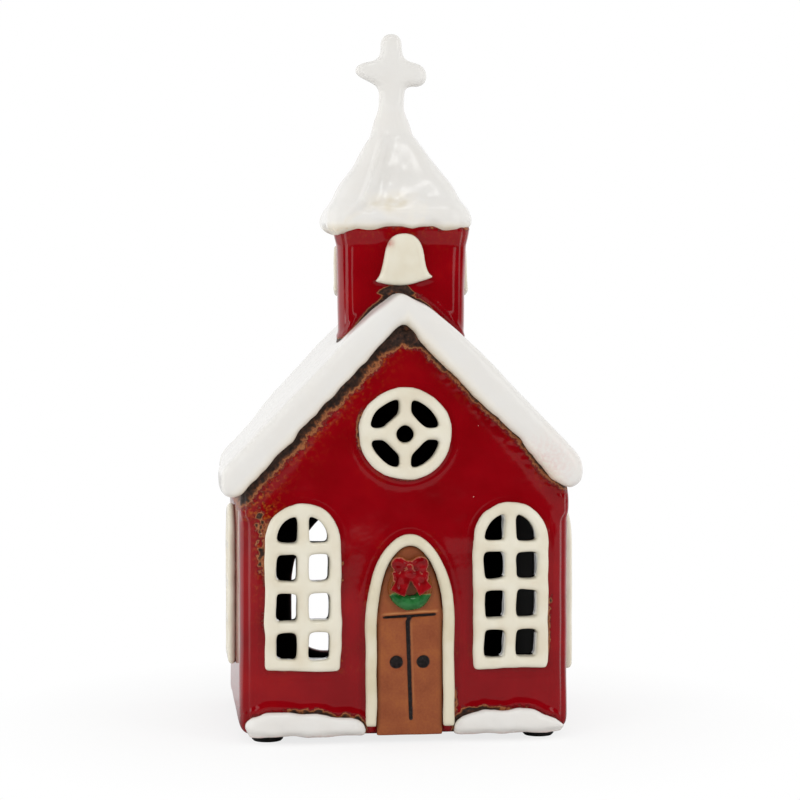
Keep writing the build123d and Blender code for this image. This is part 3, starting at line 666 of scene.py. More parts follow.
class CHURCH_OT_walls(bpy.types.Operator):
    """Builds the luted walls and slab ends as one skin, its glaze drawn back from roof, grilles and drifts"""

    bl_idname = "church.walls"
    bl_label = "Walls"

    # Places on the front where the glaze has crawled, as x, z, half width, half height and extra millimetres
    crawls = ((-46.8, 62.0, 2.2, 13.0, 1.9), (-46.4, 75.5, 3.0, 5.0, 2.0), (49.6, 37.0, 1.6, 13.0, 2.4),
              (-47.2, 41.0, 1.5, 5.0, 1.8), (-19.5, 60.0, 1.0, 14.0, 1.3), (-14.6, 106.0, 2.0, 12.0, 2.6),
              (2.0, 87.0, 12.0, 2.2, 1.3), (22.8, 50.0, 0.9, 22.0, 0.9), (18.1, 13.0, 2.2, 7.0, 2.2),
              (-32.2, 78.6, 5.0, 1.4, 1.6))
    # Places on the front where the glaze has blistered, as x, z, half width, half height and strength
    blisters = ((-47.4, 65.0, 1.9, 10.0, 5.6), (-47.6, 75.5, 2.6, 3.6, 4.6), (49.8, 45.0, 1.2, 9.0, 5.2),
                (49.3, 31.0, 1.0, 4.0, 4.2), (-20.0, 57.5, 0.9, 5.0, 4.6))
    # Stretches over the drifts where the glaze has burnt to a crust, as x, half width and share
    crusts = ((-38.0, 4.0, 0.5), (-31.0, 5.0, 1.1), (-18.0, 6.0, 0.9), (21.0, 5.0, 1.2), (31.0, 6.0, 0.7))
    # Radius of the upright corners, in millimetres
    corner = 4.2
    # Slab ends: how far they stop short of the eaves and stand in from the gables, and their depth and
    # height, in millimetres
    end_short, end_in, end_deep, end_tall = 3.4, 2.8, 6.2, 6.0

    def slab_ends(self, bm):
        """Adds the ends of the roof slabs that show under the snow on both gables."""
        reach = WALL_HALF_WIDTH - self.end_short * MM
        eave_z = WALL_APEX - WALL_HALF_WIDTH * math.tan(ROOF_PITCH)
        for side in (-1.0, 1.0):
            top = Vector((HOUSE_X + side * reach / 2.0, 0.0, WALL_APEX - reach / 2.0 * math.tan(ROOF_PITCH)))
            top += Vector((SLOPE_OUT.x * side, 0.0, SLOPE_OUT.z)) * MM
            corner_x = HOUSE_X + side * (WALL_HALF_WIDTH - 3.1 * MM)
            for end in (FRONT_Y + self.end_in * MM, -FRONT_Y - self.end_in * MM):
                turned = Matrix.Translation((top.x, end, top.z)) @ Matrix.Rotation(side * ROOF_PITCH, 4, "Y")
                add_block(bm, turned, reach / math.cos(ROOF_PITCH) + 1.0 * MM, self.end_deep * MM,
                          self.end_tall * MM)
                corner = Matrix.Translation((corner_x, end, eave_z + 0.6 * MM))
                add_block(bm, corner, 5.8 * MM, 5.6 * MM, 7.4 * MM)

    def execute(self, context):
        clay = context.scene.church_clay
        bm = cad_copy(*WALLS)
        self.slab_ends(bm)
        knead(bm, 1.1, 3)
        round_corners(bm, (HOUSE_X, 0.0), (WALL_HALF_WIDTH, -FRONT_Y), self.corner)
        frames = tree_of(*WINDOWS, "door_surround")
        drifts = tree_of_pieces("left_drift", "right_drift")
        snow = tree_of_pieces("snow_blanket")

        def fine(v):
            """Whether a vertex is on the front and near what breaks the glaze."""
            if v.co.y > FRONT_Y + 2.0 * MM:
                return False
            return min(gap(frames, v.co), gap(drifts, v.co), roof_gap(v.co)) < 4.0

        close_in(bm, fine)
        hand_lumps(bm, clay.lump_size / MM, clay.lump_height, 1)
        hand_lumps(bm, 6.0, 0.045 * MM, 2)

        def bank(v):
            """How far the glaze piles up at a vertex of the front."""
            if v.normal.y > -0.7:
                return 0.0
            away, at = gap(frames, v.co), v.co
            rough = 0.3 * wave(at, 2.0, 6) * fade(0.0, 2.0, roof_gap(at))
            ridge = 0.24 * (0.55 + 0.6 * wave(at, 22.0, 13)) * hump(away - 2.3, 0.6)
            foot = 0.42 * hump(gap(drifts, at) - 1.9, 0.9)
            return (0.42 * math.exp(-away / 0.9) + ridge + foot + rough) * MM

        push([(v, v.normal * bank(v)) for v in bm.verts])
        bm.normal_update()

        def bare(at):
            """Millimetres from a place to the end of the bare clay under the snow, less where it's bare."""
            share = right_share(at)
            width = (clay.bare_left + (clay.bare_right - clay.bare_left) * share) / MM
            ragged = (1.0 - 0.4 * share) * (0.9 * wave(at, 7.0, 3) + 0.8 * wave(at, 2.4, 4))
            top = 3.2 * spot(at, HOUSE_X / MM - 1.5, WALL_APEX / MM - 1.0, 6.5, 4.5)
            return (gap(snow, at) - width - ragged - top) * (0.6 + 0.3 * share)

        def edge(v):
            """Millimetres from a vertex to the nearest place where the glaze is broken."""
            at, stray = v.co, wave(v.co, 7.0, 3)
            found = [bare(at), gap(drifts, at) - 0.45 - 0.75 * stray,
                     (at.z - 2.5 * MM) / MM - 0.25 - 0.3 * stray, 2.6 - 3.2 * sharpness(v)]
            if at.y < FRONT_Y + 3.0 * MM:
                crawl = sum(c[4] * spot(at, *c[:4]) for c in self.crawls)
                found.append(gap(frames, at) + 1.15 - 0.35 * stray - crawl)
                blister = sum(b[4] * spot(at, *b[:4]) for b in self.blisters)
                found.append(2.4 - blister * (0.56 + 0.7 * wave(at, 1.6, 51)))
                crust = sum(c[2] * math.exp(-((at.x / MM - c[0]) / c[1]) ** 2) for c in self.crusts)
                crust *= 0.9 + 0.7 * wave(at, 3.0, 45)
                found.append(1.8 * (gap(drifts, at) - 0.2 - 1.9 * crust - 0.5 * stray))
            else:
                found.append(gap(frames, at) + 0.4 - 0.5 * stray)
            return min(4.0, min(found)) + 0.35

        def inside(v):
            """1 in the chamber, whose skin is painted near black as shade, fading out through the walls'
            thickness.
            """
            inner_x, inner_y = WALL_HALF_WIDTH - WALL_THICKNESS, -FRONT_Y - WALL_THICKNESS
            out = max(abs(v.co.x - HOUSE_X) - inner_x, abs(v.co.y) - inner_y)
            return fade(0.4, 2.6, out / MM)

        def mottle(v):
            """Share of orange mottling, next to bare clay and the grilles."""
            return (0.9 * spot(v.co, -47.0, 78.0, 5.0, 7.0) + 0.5 * spot(v.co, -47.5, 62.0, 2.4, 14.0)
                    + max(0.0, 0.8 * wave(v.co, 13.0, 8)) * math.exp(-gap(frames, v.co) / 1.6)
                    + (0.9 if v.co.x < HOUSE_X else 0.4) * math.exp(-max(0.0, bare(v.co)) / 1.6))

        set_values(bm, inside=inside, edge_mm=edge, mottle=mottle)
        finish = finish_of("iron_red_gloss_glaze", red_glaze_finish, context.scene.church_glazes)
        piece(bm, "house_walls", "house", "red_glaze", finish, *WALLS)
        return {"FINISHED"}


class CHURCH_OT_roof(bpy.types.Operator):
    """Builds the bare roof slabs under the snow, drawn in so that the gables' skin covers their ends"""

    bl_idname = "church.roof"
    bl_label = "Roof slabs"

    # How far the slabs stand in from the walls' faces at the eaves and at the gables, in millimetres
    eave_in, gable_in = 3.8, 1.0

    def execute(self, context):
        bm = knead(cad_copy(*SLABS), 0.9, 2)
        low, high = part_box("left_roof_slab")
        eave = HOUSE_X - low.x
        cut = max(0.0, eave - WALL_HALF_WIDTH + self.eave_in * MM)
        for v in bm.verts:
            share = (v.co.x - HOUSE_X) / eave
            v.co.x -= cut * share
            v.co.z += cut * abs(share) * math.tan(ROOF_PITCH)
            v.co.y *= (-FRONT_Y - self.gable_in * MM) / high.y
        hand_lumps(bm, 9.0, 0.18 * MM, 5)
        hand_lumps(bm, 2.2, 0.16 * MM, 6)
        set_values(bm, edge_mm=lambda v: max(0.0, -roof_gap(v.co)))
        finish = finish_of("bare_iron_stoneware", bare_clay_finish, context.scene.church_glazes)
        piece(bm, "roof_slabs", "house", "bare_clay", finish, *SLABS)
        return {"FINISHED"}


class CHURCH_OT_snow(bpy.types.Operator):
    """Builds the blanket of snow on the roof, lumpy and with a wandering lower edge"""

    bl_idname = "church.snow"
    bl_label = "Roof snow"

    # How far the ridge moves to the left, how far the snow sinks beside it, and how far the left eave draws
    # in towards the rear, in millimetres
    ridge_shift, ridge_sink, eave_lean = 1.2, 2.3, 3.0

    def execute(self, context):
        clay = context.scene.church_clay
        bm = knead(cad_copy("roof_snow"), 1.0, 14)
        for v in bm.verts:
            high = smoothstep(3.0, 11.0, -roof_gap(v.co))
            across = (v.co.x - HOUSE_X) / MM
            v.co.x -= self.ridge_shift * MM * hump(across, 20.0)
            aside = across + 1.0
            beside = 1.0 - hump(aside, 4.0)
            v.co.z -= self.ridge_sink * MM * high * beside * hump(aside, 15.0)
            if across < 0.0:
                rear = smoothstep(-35.0, 45.0, v.co.y / MM)
                v.co.x += self.eave_lean * MM * smoothstep(30.0, 60.0, -across) * rear
            away, behind = (BELFRY_BOX[0].x - v.co.x) / MM, (v.co.y - BELFRY_BOX[1].y) / MM
            lean = belfry_lean(v.co) * fade(2.0, 10.0, away)
            v.co += Vector((1.0, 0.0, math.tan(ROOF_PITCH))) * (lean * fade(0.0, 5.0, behind))
        hand_lumps(bm, 20.0, clay.snow_lump, 7)
        hand_lumps(bm, 7.0, clay.snow_lump * 0.42, 8)
        for v in bm.verts:
            out = -roof_gap(v.co)
            hang = fade(3.0, 8.0, out)
            along = Vector((v.co.x, 0.0, v.co.z))
            stray = wave(along, 12.0, 9) + 0.6 * wave(along, 5.0, 10) + 0.3 * wave(along, 2.4, 12)
            side = 1.0 if v.co.x > HOUSE_X else -1.0
            droop = SNOW_DROOP * MM * right_share(v.co)
            side *= smoothstep(0.0, 4.0, abs(v.co.x - HOUSE_X) / MM)
            v.co += Vector((SLOPE_OUT.x * side, 0.0, SLOPE_OUT.z)) * ((clay.snow_wave * stray - droop) * hang)
        bm.normal_update()
        set_values(
            bm,
            edge_mm=lambda v: max(0.0, -roof_gap(v.co) - SNOW_EDGE + SNOW_DROOP * right_share(v.co)) + 0.3,
            blush=lambda v: 0.75 * spot(v.co, 46.0, 92.0, 9.0, 8.0) if v.co.y < 0.0 else 0.0)
        finish = finish_of("tin_white_gloss_glaze", snow_glaze_finish, context.scene.church_glazes)
        piece(bm, "snow_blanket", "house", "snow_glaze", finish, "roof_snow")
        return {"FINISHED"}


class CHURCH_OT_belfry(bpy.types.Operator):
    """Builds the red belfry with its glaze broken along the snow, the cap and under the bells"""

    bl_idname = "church.belfry"
    bl_label = "Belfry"

    # Radius of the upright corners and half width of the hollow inside, in millimetres
    corner, hollow = 3.2, 17.5

    def execute(self, context):
        clay = context.scene.church_clay
        bm = knead(cad_copy("belfry_tower"), 0.8, 3)
        hand_lumps(bm, 12.0, clay.lump_height, 11)
        snow, cap, bells = tree_of_pieces("snow_blanket"), tree_of("spire_cap"), tree_of(*BELLS)
        low, high = BELFRY_BOX
        middle = (low + high) / 2.0
        bell_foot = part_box("front_bell")[0].z
        round_corners(bm, middle, high - middle, self.corner)
        moves = []
        for v in bm.verts:
            seat, bell, at = gap(snow, v.co), gap(bells, v.co), v.co
            swell = 0.75 * math.exp(-seat / 1.3) + 0.35 * math.exp(-bell / 0.7)
            swell += 0.45 * hump(seat - 2.2 - 1.9 * right_share(at), 0.8)
            swell += 0.9 * wave(Vector((at.x, at.y, 0.1 * at.z)), 7.5, 22) * smoothstep(0.5, 3.0, bell)
            swell += 1.5 * smoothstep(high.z / MM - 6.5, high.z / MM + 1.0, at.z / MM)
            moves.append((v, Vector((v.normal.x, v.normal.y, 0.0)) * (swell * MM)))
        push(moves)
        for v in bm.verts:
            v.co.x += belfry_lean(v.co)
            v.co.z += 1.6 * MM * smoothstep(high.z / MM - 4.0, high.z / MM, v.co.z / MM)
        bm.normal_update()

        def edge(v):
            """Millimetres from a vertex to the nearest place where the glaze is broken."""
            at, stray = v.co, wave(v.co, 5.0, 12)
            seat = gap(snow, at)
            found = [3.0 * (seat - 1.5 - 1.1 * right_share(at) - 0.6 * stray),
                     gap(cap, at) - 0.1 - 0.6 * stray, gap(bells, at) + 0.9 - 0.2 * stray]
            if at.y < middle.y and at.z < bell_foot + 1.0 * MM:
                found.append(3.0 * (max(gap(bells, at), seat) - 4.0 - 0.9 * stray))
            return min(4.0, min(found)) + 0.4

        def inside(v):
            """1 on the skin of the hollow, which is painted near black as shade."""
            return 1.0 if max(abs(v.co.x - middle.x), abs(v.co.y - middle.y)) < self.hollow * MM else 0.0

        set_values(bm, inside=inside, edge_mm=edge, mottle=lambda v: 0.4 * math.exp(-gap(cap, v.co) / 3.0))
        finish = finish_of("iron_red_gloss_glaze", red_glaze_finish, context.scene.church_glazes)
        piece(bm, "belfry", "house", "red_glaze", finish, "belfry_tower")
        return {"FINISHED"}


class CHURCH_OT_spire(bpy.types.Operator):
    """Builds the snowy cap and the cross as one soft form"""

    bl_idname = "church.spire"
    bl_label = "Cap and cross"

    # Length of the cap's spigot inside the belfry, and the bar's middle below the cross's top, in millimetres
    spigot, bar_drop = 4.0, 13.5
    # Crest of the front left hip as z and x, and the fold over the eave as x and z, in millimetres
    crest = ((174.5, -17.8), (180.0, -11.6), (192.0, -6.8), (206.0, -1.9))
    fold = ((-17.8, 174.5), (-10.8, 178.2), (-1.4, 175.8), (6.8, 174.9))
    # Dabs and dents on the front of the cap: x, z, half width, half height and height
    dabs = ((-2.0, 188.4, 2.6, 3.2, 0.7), (6.0, 180.6, 2.6, 1.8, 0.8), (-0.5, 181.5, 2.6, 2.4, -0.6),
            (-6.8, 181.0, 1.8, 2.0, -0.5), (10.5, 183.0, 2.2, 2.6, -0.5), (3.0, 193.0, 2.6, 3.0, -0.4))
    # Rise and fall of the cap's lower edge on the front, as x and height in millimetres
    hem = ((-24.0, -1.5), (-20.0, -2.0), (-13.5, -0.8), (-10.5, -1.5), (-4.0, 0.0), (1.0, 0.1), (5.0, -0.5),
           (12.0, 0.2), (18.0, -0.6), (24.0, -0.4))

    def flesh(self, bm, stem, neck):
        """Adds the clay that fills the neck and the crossing of the limbs."""
        bmesh.ops.create_cone(
            bm, cap_ends=True, segments=24, radius1=8.4 * MM, radius2=4.5 * MM, depth=11.0 * MM,
            matrix=Matrix.Translation((stem.x, stem.y, neck - 2.0 * MM)))
        add_ball(bm, Matrix.Translation((stem.x, stem.y, neck + 14.0 * MM)), 6.4, 3.7, 5.6)

    def execute(self, context):
        clay = context.scene.church_clay
        low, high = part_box("spire_cap")
        eave_z = low.z + self.spigot * MM
        cross_low, cross_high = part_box("cross")
        stem = (cross_low + cross_high) / 2.0
        bar_z = cross_high.z - self.bar_drop * MM
        bm = cad_copy("spire_cap", "cross")
        self.flesh(bm, stem, high.z)
        knead(bm, 0.75, 6)
        for v in bm.verts:
            reach = (v.co.x - stem.x) / MM
            if v.co.z > high.z + 6.0 * MM:
                arm = smoothstep(3.5, 12.5, abs(reach))
                thin, lift = (0.42, 0.8) if reach < 0.0 else (0.1, -0.9)
                v.co.z = bar_z + (v.co.z - bar_z) * (1.0 - thin * arm) + lift * arm * MM
                slim = 1.0 - 0.14 * smoothstep(3.0, 9.0, (v.co.z - bar_z) / MM)
                v.co.x = stem.x + (v.co.x - stem.x) * slim
        moves = []
        for v in bm.verts:
            rise, at = (v.co.z - eave_z) / MM, v.co / MM
            if v.co.z > high.z:
                moves.append((v, v.normal * (0.3 * MM * wave(v.co, 8.0, 17))))
                continue
            cap_x = (low.x + high.x) / 2.0
            middle_x = cap_x + (stem.x - cap_x) * smoothstep(4.0, 39.0, rise)
            hip = math.cos(4.0 * math.atan2(v.co.y - stem.y, v.co.x - middle_x))
            body = smoothstep(8.0, 14.0, rise) * fade(30.0, 38.0, rise)
            swell = -0.4 * hip * body + 0.4 * body * wave(v.co, 9.0, 19)
            swell += 1.1 * hump(rise - 6.0, 4.0) + 0.35 * wave(v.co, 11.0, 18)
            if v.co.y < stem.y - 3.0 * MM:
                aside = at.x - between(self.crest, at.z)
                along = smoothstep(3.0, 8.0, rise) * fade(24.0, 35.0, rise)
                ridge = 2.2 * hump(aside, 1.3) - 0.7 * hump(aside - 3.6, 2.2)
                swell += ridge * along
                over = at.z - between(self.fold, at.x)
                swell -= 0.7 * hump(over, 1.1) * smoothstep(-19.0, -15.0, at.x) * fade(6.0, 11.0, at.x)
                swell += sum(dab[4] * spot(v.co, *dab[:4]) for dab in self.dabs)
            moves.append((v, v.normal * (swell * MM)))
        push(moves)
        soften(bm, 2)
        hand_lumps(bm, 5.0, 0.1 * MM, 14)
        for v in bm.verts:
            hang = fade(1.5, 6.0, (v.co.z - eave_z) / MM)
            v.co.z += clay.snow_wave * 0.9 * hang * (wave(v.co, 9.0, 15) + 0.5 * wave(v.co, 3.5, 16))
            if v.co.y < stem.y - 12.0 * MM:
                v.co.z += hang * between(self.hem, v.co.x / MM) * MM
            if v.co.z < high.z:
                v.co.x -= 1.5 * MM * smoothstep(12.0, 26.0, v.co.x / MM)
        bm.normal_update()

        def thick(v):
            """Thickness of the glaze at a vertex, thin at the hem, and thinned to beige along the fold and in
            a patch on the front as painted shade of the crease and the dent.
            """
            painted_dent_shade, at = 0.0, v.co / MM
            if v.co.y < stem.y - 3.0 * MM:
                # Painted shade: the glaze is thinned to beige along the fold and in a patch on the front, for
                # the shade of the crease and the dent.
                line = hump(at.z - between(self.fold, at.x), 1.3)
                line *= 0.6 if -18.0 < at.x < 9.0 else 0.0
                painted_dent_shade = max(line, spot(v.co, -1.0, 180.0, 12.0, 5.0)) * (0.74 + 0.5 * wave(v.co, 3.2, 21))
            full = min(5.0, max(0.0, (v.co.z - eave_z) / MM - 0.2) * 1.6 + 0.4)
            return full * (1.0 - min(0.9, max(0.0, painted_dent_shade)))

        set_values(bm, edge_mm=thick, blush=0.0)
        finish = finish_of("tin_white_gloss_glaze", snow_glaze_finish, context.scene.church_glazes)
        piece(bm, "spire_cap_and_cross", "house", "snow_glaze", finish, "spire_cap", "cross")
        return {"FINISHED"}


class CHURCH_OT_bells(bpy.types.Operator):
    """Builds the four bells as plump reliefs"""

    bl_idname = "church.bells"
    bl_label = "Bells"

    def execute(self, context):
        finish = cream_glaze(context.scene.church_glazes)
        tower = tree_of("belfry_tower")
        for seed, node in enumerate(BELLS):
            bm = knead(cad_copy(node), 0.45, 4)
            hand_lumps(bm, 6.0, 0.14 * MM, 20 + seed)
            low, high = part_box(node)
            middle = (low + high) / 2.0
            if node == "front_bell":
                for v in bm.verts:
                    foot = fade(low.z, middle.z, v.co.z)
                    v.co.z += 0.09 * (v.co.x - middle.x) * foot

            def lean(place):
                """How far the left bell follows the belfry's left face."""
                return Vector((belfry_lean(place) + 0.7 * MM, 0.0, 0.0)) if node == "left_bell" else Vector()

            for v in bm.verts:
                v.co += lean(v.co)

            def blush(v):
                """A dab of red on the front bell's left shoulder."""
                dab = spot(v.co, middle.x / MM - 5.0, high.z / MM - 3.4, 1.3, 1.3)
                return 1.2 * dab if node == "front_bell" else 0.0

            set_values(bm, edge_mm=lambda v: gap(tower, v.co - lean(v.co)), depth_mm=0.0, blush=blush)
            piece(bm, node.replace("_bell", "_bell_relief"), "house", "cream_glaze", finish, node)
        return {"FINISHED"}


class CHURCH_OT_windows(bpy.types.Operator):
    """Builds the pierced grilles and the rose with hand-cut openings"""

    bl_idname = "church.windows"
    bl_label = "Windows"

    # How far the glaze thickens the cut bars, in millimetres
    coat = 0.18

    def execute(self, context):
        clay = context.scene.church_clay
        finish = cream_glaze(context.scene.church_glazes)
        walls = tree_of(*WALLS)
        for seed, node in enumerate(WINDOWS):
            low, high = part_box(node)
            facing = "x" if node in SIDE_WINDOWS else "y"
            bm = knead(cad_copy(node), 0.55, 14)
            push([(v, v.normal * (self.coat * MM)) for v in bm.verts])
            wander(bm, 15.0, clay.grille_wander, 30 + seed * 3, fixed=facing)
            wander(bm, 5.0, clay.grille_wander * 0.6, 60 + seed * 3, fixed=facing)
            hand_lumps(bm, 7.0, 0.1 * MM, 90 + seed)

            def depth(v):
                """How far a vertex lies behind the window's outer face."""
                if facing == "y":
                    return (v.co.y - low.y) / MM
                return (v.co.x - low.x if node.startswith("left") else high.x - v.co.x) / MM

            set_values(bm, depth_mm=depth, edge_mm=lambda v: min(3.0, gap(walls, v.co)), blush=0.0)
            piece(bm, node.replace("_window", "_grille"), "house", "cream_glaze", finish, node)
        return {"FINISHED"}


class CHURCH_OT_door(bpy.types.Operator):
    """Builds the door leaf with its cut lines and the cream arch round it"""

    bl_idname = "church.door"
    bl_label = "Door"

    # Height of the cut rail over the door's foot, in millimetres, and its rise to the right
    rail = 39.7
    rail_tilt = 0.05
    # How far the seam below the rail strays to the right, as a share of its length
    seam_lean = 0.034
    # Knob marks: distance from the middle and below the rail, in millimetres
    knob_aside = 4.5
    knob_drop = 15.3

    def execute(self, context):
        glazes = context.scene.church_glazes
        low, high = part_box("door_panel")
        middle = (low + high) / 2.0
        arch = tree_of("door_surround")
        bm = knead(cad_copy("door_panel"), 0.45, 2)
        rail = low.z + self.rail * MM
        for v in bm.verts:
            for side in (-1.0, 1.0):
                arm = Vector((v.co.x - middle.x - side * self.knob_aside * MM, 0.0,
                              v.co.z - rail + self.knob_drop * MM))
                v.co += arm * (0.2 * math.exp(-(arm.length / (3.2 * MM)) ** 4))
            v.co.x += 0.2 * (v.co.x - middle.x) * math.exp(-((v.co.z - rail) / (1.4 * MM)) ** 4)
            across = (v.co.x - middle.x) / MM
            below = max(0.0, (rail - v.co.z) / MM)
            v.co.x += 0.8 * across * MM * math.exp(-(across / 1.3) ** 4) * smoothstep(0.0, 2.0, below)
            near = hump(across, 1.6)
            stray = self.seam_lean * below - 0.7 - 0.012 * across * below
            v.co.x += stray * near * smoothstep(0.0, 2.0, below) * MM
            v.co.z += self.rail_tilt * across * MM * math.exp(-((v.co.z - rail) / (3.0 * MM)) ** 2)

        def lip(v):
            """Share of the lip that the tool raised along the rail and the seam, painted pale partly as a
            highlight.
            """
            over = (v.co.z - rail - self.rail_tilt * (v.co.x - middle.x)) / MM
            across = abs(v.co.x - middle.x) / MM
            stray = wave(v.co, 4.0, 123)
            rail_lip = hump(over - 1.2 - 0.2 * stray, 0.36)
            rail_lip *= fade(8.6, 9.8, across)
            aside = (v.co.x - middle.x) / MM - self.seam_lean * max(0.0, -over) - 0.25
            seam = math.exp(-aside ** 2 / 0.1)
            seam *= smoothstep(1.0, 3.0, -over) * fade(28.0, 33.0, -over)
            return max(0.75 * rail_lip, 0.3 * seam) * (0.8 + 0.4 * stray)

        for v in bm.verts:
            if v.normal.y < -0.5:
                v.co.y -= 0.22 * MM * lip(v)
        set_values(bm, depth_mm=lambda v: (v.co.y - low.y) / MM if gap(arch, v.co) > 0.7 else 0.0,
                   edge_mm=lambda v: min(3.0, gap(arch, v.co)), lip=lip)
        hand_lumps(bm, 9.0, 0.08 * MM, 120)
        finish = finish_of("caramel_slip_stain", door_stain_finish, glazes)
        piece(bm, "door_leaf", "house", "door_stain", finish, "door_panel")
        bm = knead(cad_copy("door_surround"), 0.55, 4)
        wander(bm, 14.0, 0.35 * MM, 121, fixed="y")
        hand_lumps(bm, 6.0, 0.12 * MM, 122)
        walls = tree_of(*WALLS, "door_panel")
        set_values(bm, depth_mm=0.0, edge_mm=lambda v: min(3.0, gap(walls, v.co)), blush=0.0)
        finish = finish_of("ivory_gloss_glaze", cream_glaze_finish, "#cfc5a9", glazes.ivory, "#dad2bb")
        piece(bm, "door_arch", "house", "cream_glaze", finish, "door_surround")
        return {"FINISHED"}


class CHURCH_OT_wreath(bpy.types.Operator):
    """Models the wreath and its ribbon on the door"""

    bl_idname = "church.wreath"
    bl_label = "Wreath"

    # Lumps of the ribbon: x and z from the ring's middle, half width and height, turn in degrees, half depth
    lumps = ((-0.5, 7.1, 1.7, 1.6, 0.0, 2.2), (-1.0, 9.0, 0.7, 0.7, 0.0, 1.7), (0.4, 9.0, 0.7, 0.7, 0.0, 1.7),
             (-3.7, 8.0, 3.0, 2.7, 14.0, 1.8), (3.2, 8.0, 3.0, 2.9, -14.0, 1.8),
             (-0.2, 5.2, 3.0, 2.2, 0.0, 1.9), (-5.2, 5.0, 1.4, 1.0, 0.0, 1.3), (5.0, 5.0, 1.4, 1.0, 0.0, 1.3),
             (-4.5, 3.2, 1.7, 2.6, 0.0, 1.6), (4.5, 3.2, 1.7, 2.6, 0.0, 1.6))
    # Tails of the ribbon: x and z of the middle, half width at the end and the knot, length, lean in degrees
    tails = ((-2.9, 2.0, 2.7, 1.9, 7.8, 25.0), (2.9, 2.1, 2.6, 1.9, 7.4, -34.0))
    # Hollows of the loops and tails: x, z, square of the half width and height, depth
    hollows = ((-4.4, 7.8, 2.0, 1.2, 0.55), (3.9, 7.8, 2.0, 1.3, 0.55), (-3.4, 1.2, 1.0, 4.0, 0.4),
               (3.5, 1.6, 1.0, 3.4, 0.4), (-2.0, 6.3, 0.5, 0.5, 0.5), (1.4, 6.3, 0.5, 0.5, 0.5))

    def greens(self, middle):
        """The ring, fuller than its solid and pressed in by thumb marks."""
        bm = knead(cad_copy("wreath_ring"), 0.3, 3)
        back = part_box("wreath_ring")[1].y
        for v in bm.verts:
            arm = Vector((v.co.x - middle.x, 0.0, v.co.z - middle.z))
            fuller = 5.05 * MM + (arm.length - 5.3 * MM) * 1.3
            fuller += 0.2 * MM * wave(arm.normalized() * 5.0 * MM, 2.4, 132)
            v.co += arm.normalized() * (fuller - arm.length)
            v.co.y = back + (v.co.y - back) * (1.0 + 0.4 * smoothstep(0.5, 3.5, (middle.z - v.co.z) / MM))
        hand_lumps(bm, 3.0, 0.16 * MM, 130)
        return bm

    def ribbon(self, middle, face):
        """The bow, pressed together from balls and strips and hollowed by a tool."""
        def spread(x, z, turn):
            """Where a lump or a strip lies on the ring."""
            place = Matrix.Translation((middle.x + x * MM, face, middle.z + z * MM))
            return place @ Matrix.Rotation(math.radians(turn), 4, "Y")

        bm = bmesh.new()
        for x, z, wide, tall, turn, deep in self.lumps:
            add_ball(bm, spread(x, z, turn), wide, deep, tall)
        # A strip is a cone of four sides, flattened, its corners 1.414 times as far out as its sides
        flat, square = Matrix.Diagonal((1.0, 0.75, 1.0, 1.0)), Matrix.Rotation(math.radians(45.0), 4, "Z")
        for x, z, wide, slim, length, lean in self.tails:
            bmesh.ops.create_cone(
                bm, cap_ends=True, segments=4, radius1=wide * 1.414 * MM, radius2=slim * 1.414 * MM,
                depth=length * MM, matrix=spread(x, z, lean) @ flat @ square)
        knead(bm, 0.22, 4)
        for v in bm.verts:
            if v.normal.y < -0.2:
                sink = sum(depth * math.exp(-((v.co.x - middle.x) / MM - x) ** 2 / wide
                                            - ((v.co.z - middle.z) / MM - z) ** 2 / tall)
                           for x, z, wide, tall, depth in self.hollows)
                v.co.y += sink * MM
        soften(bm, 1)
        hand_lumps(bm, 1.8, 0.07 * MM, 131)
        bm.normal_update()
        return bm

    def execute(self, context):
        glazes = context.scene.church_glazes
        low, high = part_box("wreath_ring")
        middle = (low + high) / 2.0
        bm = self.greens(middle)
        set_values(bm, edge_mm=lambda v: (middle.z - v.co.z) / MM - 1.7 + 0.9 * wave(v.co, 2.4, 133))
        finish = finish_of("leaf_green_gloss_glaze", wreath_finish, glazes.green, "#0f4d1c", "#a9b56a")
        piece(bm, "wreath_greens", "house", "green_glaze", finish, "wreath_ring")
        bm = self.ribbon(middle, high.y - 1.5 * MM)
        set_values(bm, edge_mm=lambda v: min(-2.2 * v.normal.y - 1.25, 0.8 - 2.0 * max(0.0, sharpness(v))))
        finish = finish_of("ribbon_red_gloss_glaze", wreath_finish, glazes.ribbon, "#6f0308", "#d99a80")
        piece(bm, "wreath_ribbon", "house", "bow_glaze", finish, "wreath_bow")
        return {"FINISHED"}


